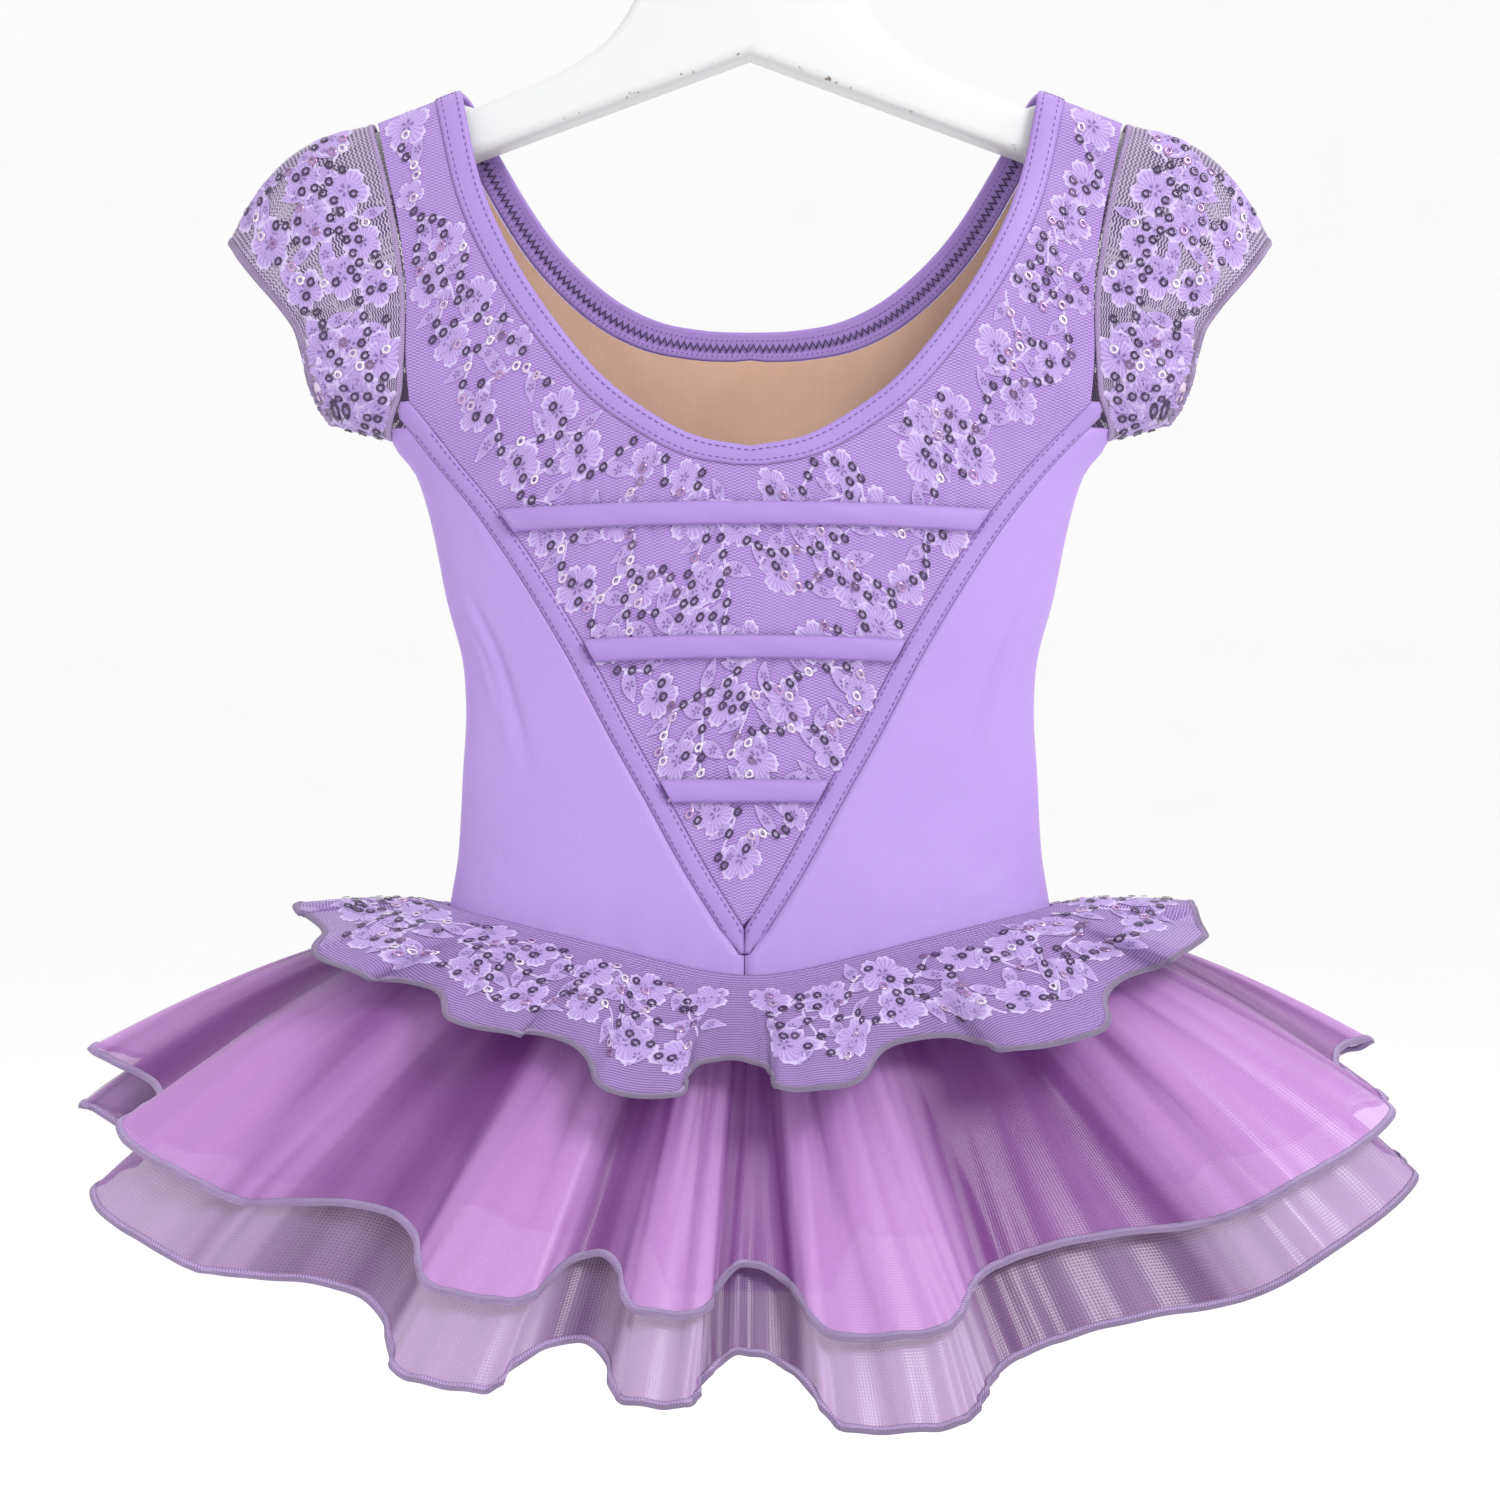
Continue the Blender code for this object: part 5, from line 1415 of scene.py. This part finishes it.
# an all-over lace: flowers on a loose lattice, joined by wavy stems with leaves and sequins
def laceOver(name, surface, spots, inside, base, small, facing=1.0):
    dice = random.Random(motifs["seed"] + len(spots))
    sizes = [spot[2] if len(spot) > 2 else dice.uniform(*motifs["flowerSize"]) for spot in spots]
    spots = np.array([spot[:2] for spot in spots], float)
    us, vs = metric(surface, spots[:, 0], spots[:, 1], small)
    flowers, leaves, sequins, stems = [], [], [], []
    for (u, v), size in zip(spots, sizes):
        flowers.append((u, v, size, dice.uniform(0, tau), 0.0, 0.5))
    points = surface(spots[:, 0], spots[:, 1])
    links = set()
    for i in range(len(spots)):
        away = np.linalg.norm(points - points[i], axis=1)
        for j in np.argsort(away)[1:4]:
            if away[j] < motifs["linkReach"]:
                links.add((min(i, int(j)), max(i, int(j))))
    for i, j in sorted(links):
        start, end = spots[i], spots[j]
        shares = np.linspace(0.0, 1.0, motifs["linkPoints"])
        gap = (end - start) * (us[i], vs[i])
        long = np.linalg.norm(gap)
        side = np.array([-gap[1], gap[0]]) / long / (us[i], vs[i])
        swing = dice.uniform(*motifs["swing"]) * dice.choice((-1, 1))
        path = start + (end - start) * shares[:, None] + side * (swing * np.sin(tau * shares))[:, None]
        good = np.array([inside(u, v, motifs["stemEdge"]) for u, v in path])
        first, final = motifs["stemShare"]
        clear = (shares > first) & (shares < final) & good
        if clear.sum() > motifs["stemLeast"]:
            stems.append(path[clear])
        last = len(path) - 1
        for share, turn in motifs["leafPlaces"]:
            at, ahead = path[int(share * last)], path[int(share * last) + 1]
            size = dice.uniform(*motifs["leafSize"])
            heading = math.atan2(*((ahead - at) * (us[i], vs[i]))[::-1]) + turn
            spot = at + np.array([math.cos(heading) / us[i], math.sin(heading) / vs[i]]) * size
            if inside(*spot, size * 0.8):
                leaves.append((*spot, size, heading, 0.0, 0.5))
        steps = max(int(long * 1.25 / motifs["sequinPitch"]), 1)
        off = motifs["sequinOff"] * dice.choice((-1, 1))
        for k in range(steps + 1):
            share = (k + 0.5) / (steps + 1)
            at = path[int(share * last)] + side * off * math.cos(math.pi * share)
            if inside(*at, motifs["sequinEdge"], True):
                spin, tilt = dice.uniform(0, tau), dice.uniform(-motifs["sequinTilt"], motifs["sequinTilt"])
                sequins.append((*at, motifs["sequinRadius"], spin, tilt, dice.random()))
    kept, laid = [], []
    for spot in sequins:
        at = surface(np.array([spot[0]]), np.array([spot[1]]))[0]
        if all(np.linalg.norm(at - other) > motifs["sequinApart"] for other in kept):
            kept.append(at)
            laid.append(spot)
    bm = bmesh.new()
    low = base - motifs["sink"]
    laidOn(bm, flowerMesh, flowers, surface, base, motifs["flowerHigh"], small, facing)
    laidOn(bm, leafMesh, leaves, surface, low, motifs["leafHigh"], small, facing)
    for path in stems:
        stem(bm, path, surface, low, small, facing)
    finished(name + "Flowers", bm, flower, outward=False)
    bm = bmesh.new()
    above = base + motifs["sequinLift"]
    laidOn(bm, sequinMesh, laid, surface, above, motifs["sequinHigh"], small, facing, True)
    finished(name + "Sequins", bm, sequin, outward=False)
    print(name, "has", len(flowers), "flowers,", len(leaves), "leaves and", len(laid), "sequins")


flowerMesh, leafMesh = flowerForm(), leafForm()
sequinMesh = formMesh("sequinForm", spun(((0.5, 0.12), (0.74, 0.2), (1.0, 0.0)), 12))
outerNeck = neckLines(80, body["seam"])[1]
outerNeckZ = shoulderLine(outerNeck[:, 0]) - dropOf(outerNeck[:, 1])
outerNeckHeight = curveThrough(outerNeck[:, 0] + np.linspace(0, -0.01, len(outerNeck)), outerNeckZ)


def insideYoke(x, run, margin, sequinHere=False):
    z = float(shoulderLine(x) - dropOf(np.asarray(run)))
    if run < 3 + margin:
        return False
    if z > yoke["top"]:
        if abs(x) > float(halfWidth(z)) - margin - 0.5:
            return False
    elif abs(x - float(lean(z))) > float(veeHalf(z)) - margin - 0.3:
        return False
    if abs(x) < outerNeck[0, 0]:
        # distance to the neck binding's outer edge
        here = np.hypot(outerNeck[:, 0] - abs(x), outerNeckZ - z).min()
        if z > float(outerNeckHeight(abs(x))) or here < margin + 0.4:
            return False
    elif abs(x) < outerNeck[0, 0] + margin and run < 30:
        return False
    if sequinHere:
        for number in range(len(straps["rows"])):
            if abs(z - float(strapHeight(number, x))) < motifs["strapClear"] and abs(x) < float(veeHalf(z)):
                return False
    return True


def yokeSpots():
    dice = random.Random(motifs["seed"])
    jitter = motifs["jitter"]
    spots = []
    for row in range(motifs["yokeRows"]):
        z = motifs["yokeTop"] - row * motifs["yokeRow"]
        for k in range(-motifs["yokeColumns"], motifs["yokeColumns"] + 1):
            x = (k + 0.5 * (row % 2)) * motifs["yokePitch"] + dice.uniform(-jitter, jitter)
            run = float(runOf(shoulderLine(x) - (z + dice.uniform(-jitter, jitter))))
            for size in (dice.uniform(*motifs["flowerSize"]), *motifs["smaller"]):
                if insideYoke(x, run, size * 0.92):
                    spots.append((x, run, size))
                    break
    # a row under the neck binding
    along = lengthsAlong(outerNeck)
    line = np.stack([outerNeck[:, 0], outerNeckZ], axis=1)
    ways = unit(np.gradient(line, axis=0)) @ np.array([[0, 1], [-1, 0]])
    for k in range(motifs["neckCount"]):
        length = along[-1] - (k + 0.5) * motifs["neckPitch"]
        at = [np.interp(length, along, values) for values in (*line.T, *ways.T)]
        for side in (-1, 1):
            size = motifs["neckFlower"]
            away = size + motifs["neckGap"]
            x, z = side * (at[0] + at[2] * away), at[1] + at[3] * away
            run = float(runOf(shoulderLine(x) - z))
            apart = all(math.hypot(x - a, run - b) > (size + c) * 0.9 for a, b, c in spots)
            if apart and insideYoke(x, run, size * 0.9):
                spots.append((x, run, size))
    # one more row down each shoulder, between the binding and the armhole
    for side in (-1, 1):
        for z in motifs["shoulderRow"]:
            near = np.abs(outerNeckZ - z).argmin()
            start, end = outerNeck[near, 0], float(halfWidth(z))
            x = side * (start + end) / 2
            run, size = float(runOf(shoulderLine(x) - z)), min((end - start) / 2 * 0.86, 9.0)
            if all(math.hypot(x - a, run - b) > size + c - 1 for a, b, c in spots):
                spots.append((x, run, size))
    return spots


# flowers on a sleeve or the ruffle: rows of v, each with its own step round the piece
def ringSpots(surface, rows, pitch, start, end, seed):
    dice = random.Random(seed)
    spots = []
    turns = np.linspace(start, end, 600)
    for number, v in enumerate(rows):
        along = lengthsAlong(surface(turns, np.full(len(turns), v)))
        at = pitch * (0.3 + 0.5 * (number % 2))
        while at < along[-1]:
            u = np.interp(at + dice.uniform(-0.12, 0.12) * pitch, along, turns)
            spots.append((float(u), v + dice.uniform(-0.04, 0.04)))
            at += pitch
    return spots


# says whether a place on a ring of lace is clear of its edges
def insideRing(start, end, length):
    def inside(u, v, margin, sequinHere=False):
        return start + margin / length < v < end - margin / length

    return inside


def makeLace():
    lift = motifs["lift"]
    laceOver("yoke", bareCloth, yokeSpots(), insideYoke, yoke["wall"] / 2 + lift, nearby["cloth"])
    inside = insideRing(*motifs["sleeveInside"])
    for name, side in (("sleeveLeft", -1), ("sleeveRight", 1)):
        surface = sleeveSurface(side)
        spots = ringSpots(surface, *motifs["sleeveRows"])
        laceOver(name, surface, spots, inside, sleeves["wall"] / 2 + lift, nearby["sleeve"], -side)
    inside = insideRing(*motifs["ruffleInside"])
    spots = ringSpots(ruffleSurface, *motifs["ruffleRows"])
    laceOver("ruffle", ruffleSurface, spots, inside, ruffle["wall"] / 2 + lift, tiny)


makeLace()
print("lace made")


# Light, floor and camera

studio = {
    "cameraAway": 0.8, "eyeHeight": -0.3636, "frameWide": 0.552, "floorHeight": -0.82,
    "floor": [(0, 0), (3, 0), (4.5, 0.03), (6, 0.25), (7.2, 0.75), (8.3, 1.6), (9.1, 2.7), (9.5, 4.2)],
    "floorSteps": 96, "floorPale": ((0.93, 0.93, 0.93), (0.96, 0.96, 0.96)), "floorGlow": 0.09,
    "sensor": 36.0, "world": 0.9, "lights": [
        # name, place, aim, size, power
        ("key", (1.0, -1.1, 0.7), (0.0, 0.0, -0.35), 0.7, 17.0),
        ("fill", (-1.4, -1.3, 0.1), (0.0, 0.0, -0.35), 1.6, 2.0),
        ("top", (0.0, 0.3, 1.3), (0.0, 0.0, -0.35), 1.0, 4.0),
    ],
}


def makeStudio():
    scene = bpy.context.scene
    camera = bpy.data.cameras.new("camera")
    camera.sensor_width = studio["sensor"]
    camera.lens = studio["sensor"] * studio["cameraAway"] / studio["frameWide"]
    eye = bpy.data.objects.new("camera", camera)
    scene.collection.objects.link(eye)
    eye.location = (0, -studio["cameraAway"], studio["eyeHeight"])
    eye.rotation_euler = (math.pi / 2, 0, 0)
    scene.camera = eye
    for name, at, aim, size, power in studio["lights"]:
        light = bpy.data.lights.new(name, "AREA")
        light.shape, light.size, light.energy = "DISK", size, power
        lamp = bpy.data.objects.new(name, light)
        scene.collection.objects.link(lamp)
        lamp.location = at
        lamp.rotation_euler = (Vector(aim) - Vector(at)).to_track_quat("-Z", "Y").to_euler()
    world = bpy.data.worlds.new("studio")
    world.use_nodes = True
    sky = world.node_tree.nodes["Background"].inputs
    sky["Color"].default_value = (1, 1, 1, 1)
    sky["Strength"].default_value = studio["world"]
    scene.world = world
    scene.view_settings.view_transform = "Standard"
    # the floor rises far away on all sides, so no edge of it shows
    bm = spun(studio["floor"], studio["floorSteps"])
    bmesh.ops.remove_doubles(bm, verts=bm.verts[:], dist=1e-5)
    bmesh.ops.recalc_face_normals(bm, faces=bm.faces[:])
    bmesh.ops.translate(bm, verts=bm.verts[:], vec=(0, 0, studio["floorHeight"]))
    mesh = bpy.data.meshes.new("floor")
    bm.to_mesh(mesh)
    bm.free()
    mesh.shade_smooth()
    floor = bpy.data.objects.new("floor", mesh)
    scene.collection.objects.link(floor)
    pale = Finish("paleFloor", roughness=0.9, emission_strength=studio["floorGlow"])
    pale.colour(pale.tint(pale.noise(pale.place()[0], 3.0), *studio["floorPale"]))
    mesh.materials.append(pale.material)


makeStudio()
print("studio ready")


# How each cloth was cut

yokeAndBack, waist = ["laceYoke", "backPanel"], ["sidePanelLeft", "sidePanelRight", "backPanel"]
vee = ["stripLeft", "stripRight"]
sleeveExtras = ("Cuff", "Armhole", "Flowers", "Sequins")
extrasLeft = ["sleeveLeft" + extra for extra in sleeveExtras]
extrasRight = ["sleeveRight" + extra for extra in sleeveExtras]
cuts = [
    # piece, width and length of the cut, how it is held, what it hangs from, share of the rectangle
    # that the cut fills, and what is sewn on
    ("laceYoke", (0.276, 0.305), "hung", ["hangerWood"], 0.33, ["yokeFlowers", "yokeSequins"]),
    ("backPanel", (0.28, 0.45), "hung", ["hangerWood"], 0.645, []),
    ("sidePanelLeft", (0.125, 0.33), "hung", yokeAndBack, 0.5, []),
    ("sidePanelRight", (0.129, 0.33), "hung", yokeAndBack, 0.51, []),
    ("backLining", (0.235, 0.15), "hung", ["backPanel"], 0.59, []),
    ("neckBinding", (0.8, 0.01), "folded", yokeAndBack, 0.86, ["bindingStitches", "coverStitches"]),
    ("stripLeft", (0.205, 0.01), "folded", ["laceYoke"], 0.81, ["stripStitches"]),
    ("stripRight", (0.205, 0.01), "folded", ["laceYoke"], 0.81, []),
    ("strapUpper", (0.18, 0.01), "stretched", vee, 0.755, []),
    ("strapMiddle", (0.118, 0.01), "stretched", vee, 0.745, []),
    ("strapLower", (0.06, 0.01), "stretched", vee, 0.73, []),
    ("sleeveLeft", (0.255, 0.06), "gathered", yokeAndBack, 0.72, extrasLeft),
    ("sleeveRight", (0.255, 0.06), "gathered", yokeAndBack, 0.72, extrasRight),
    ("laceRuffle", (0.76, 0.046), "gathered", waist, 1.0, [
        "ruffleEdge", "ruffleSeam", "ruffleFlowers", "ruffleSequins",
    ]),
    ("skirtUpper", (1.3, 0.12), "gathered", waist, 0.69, ["skirtUpperHem"]),
    ("skirtLower", (1.4, 0.135), "gathered", waist, 0.7, ["skirtLowerHem"]),
]
for name, flat, held, hangsFrom, share, extras in cuts:
    sewnOn = [made[extra] for extra in extras]
    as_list(hangsFrom)
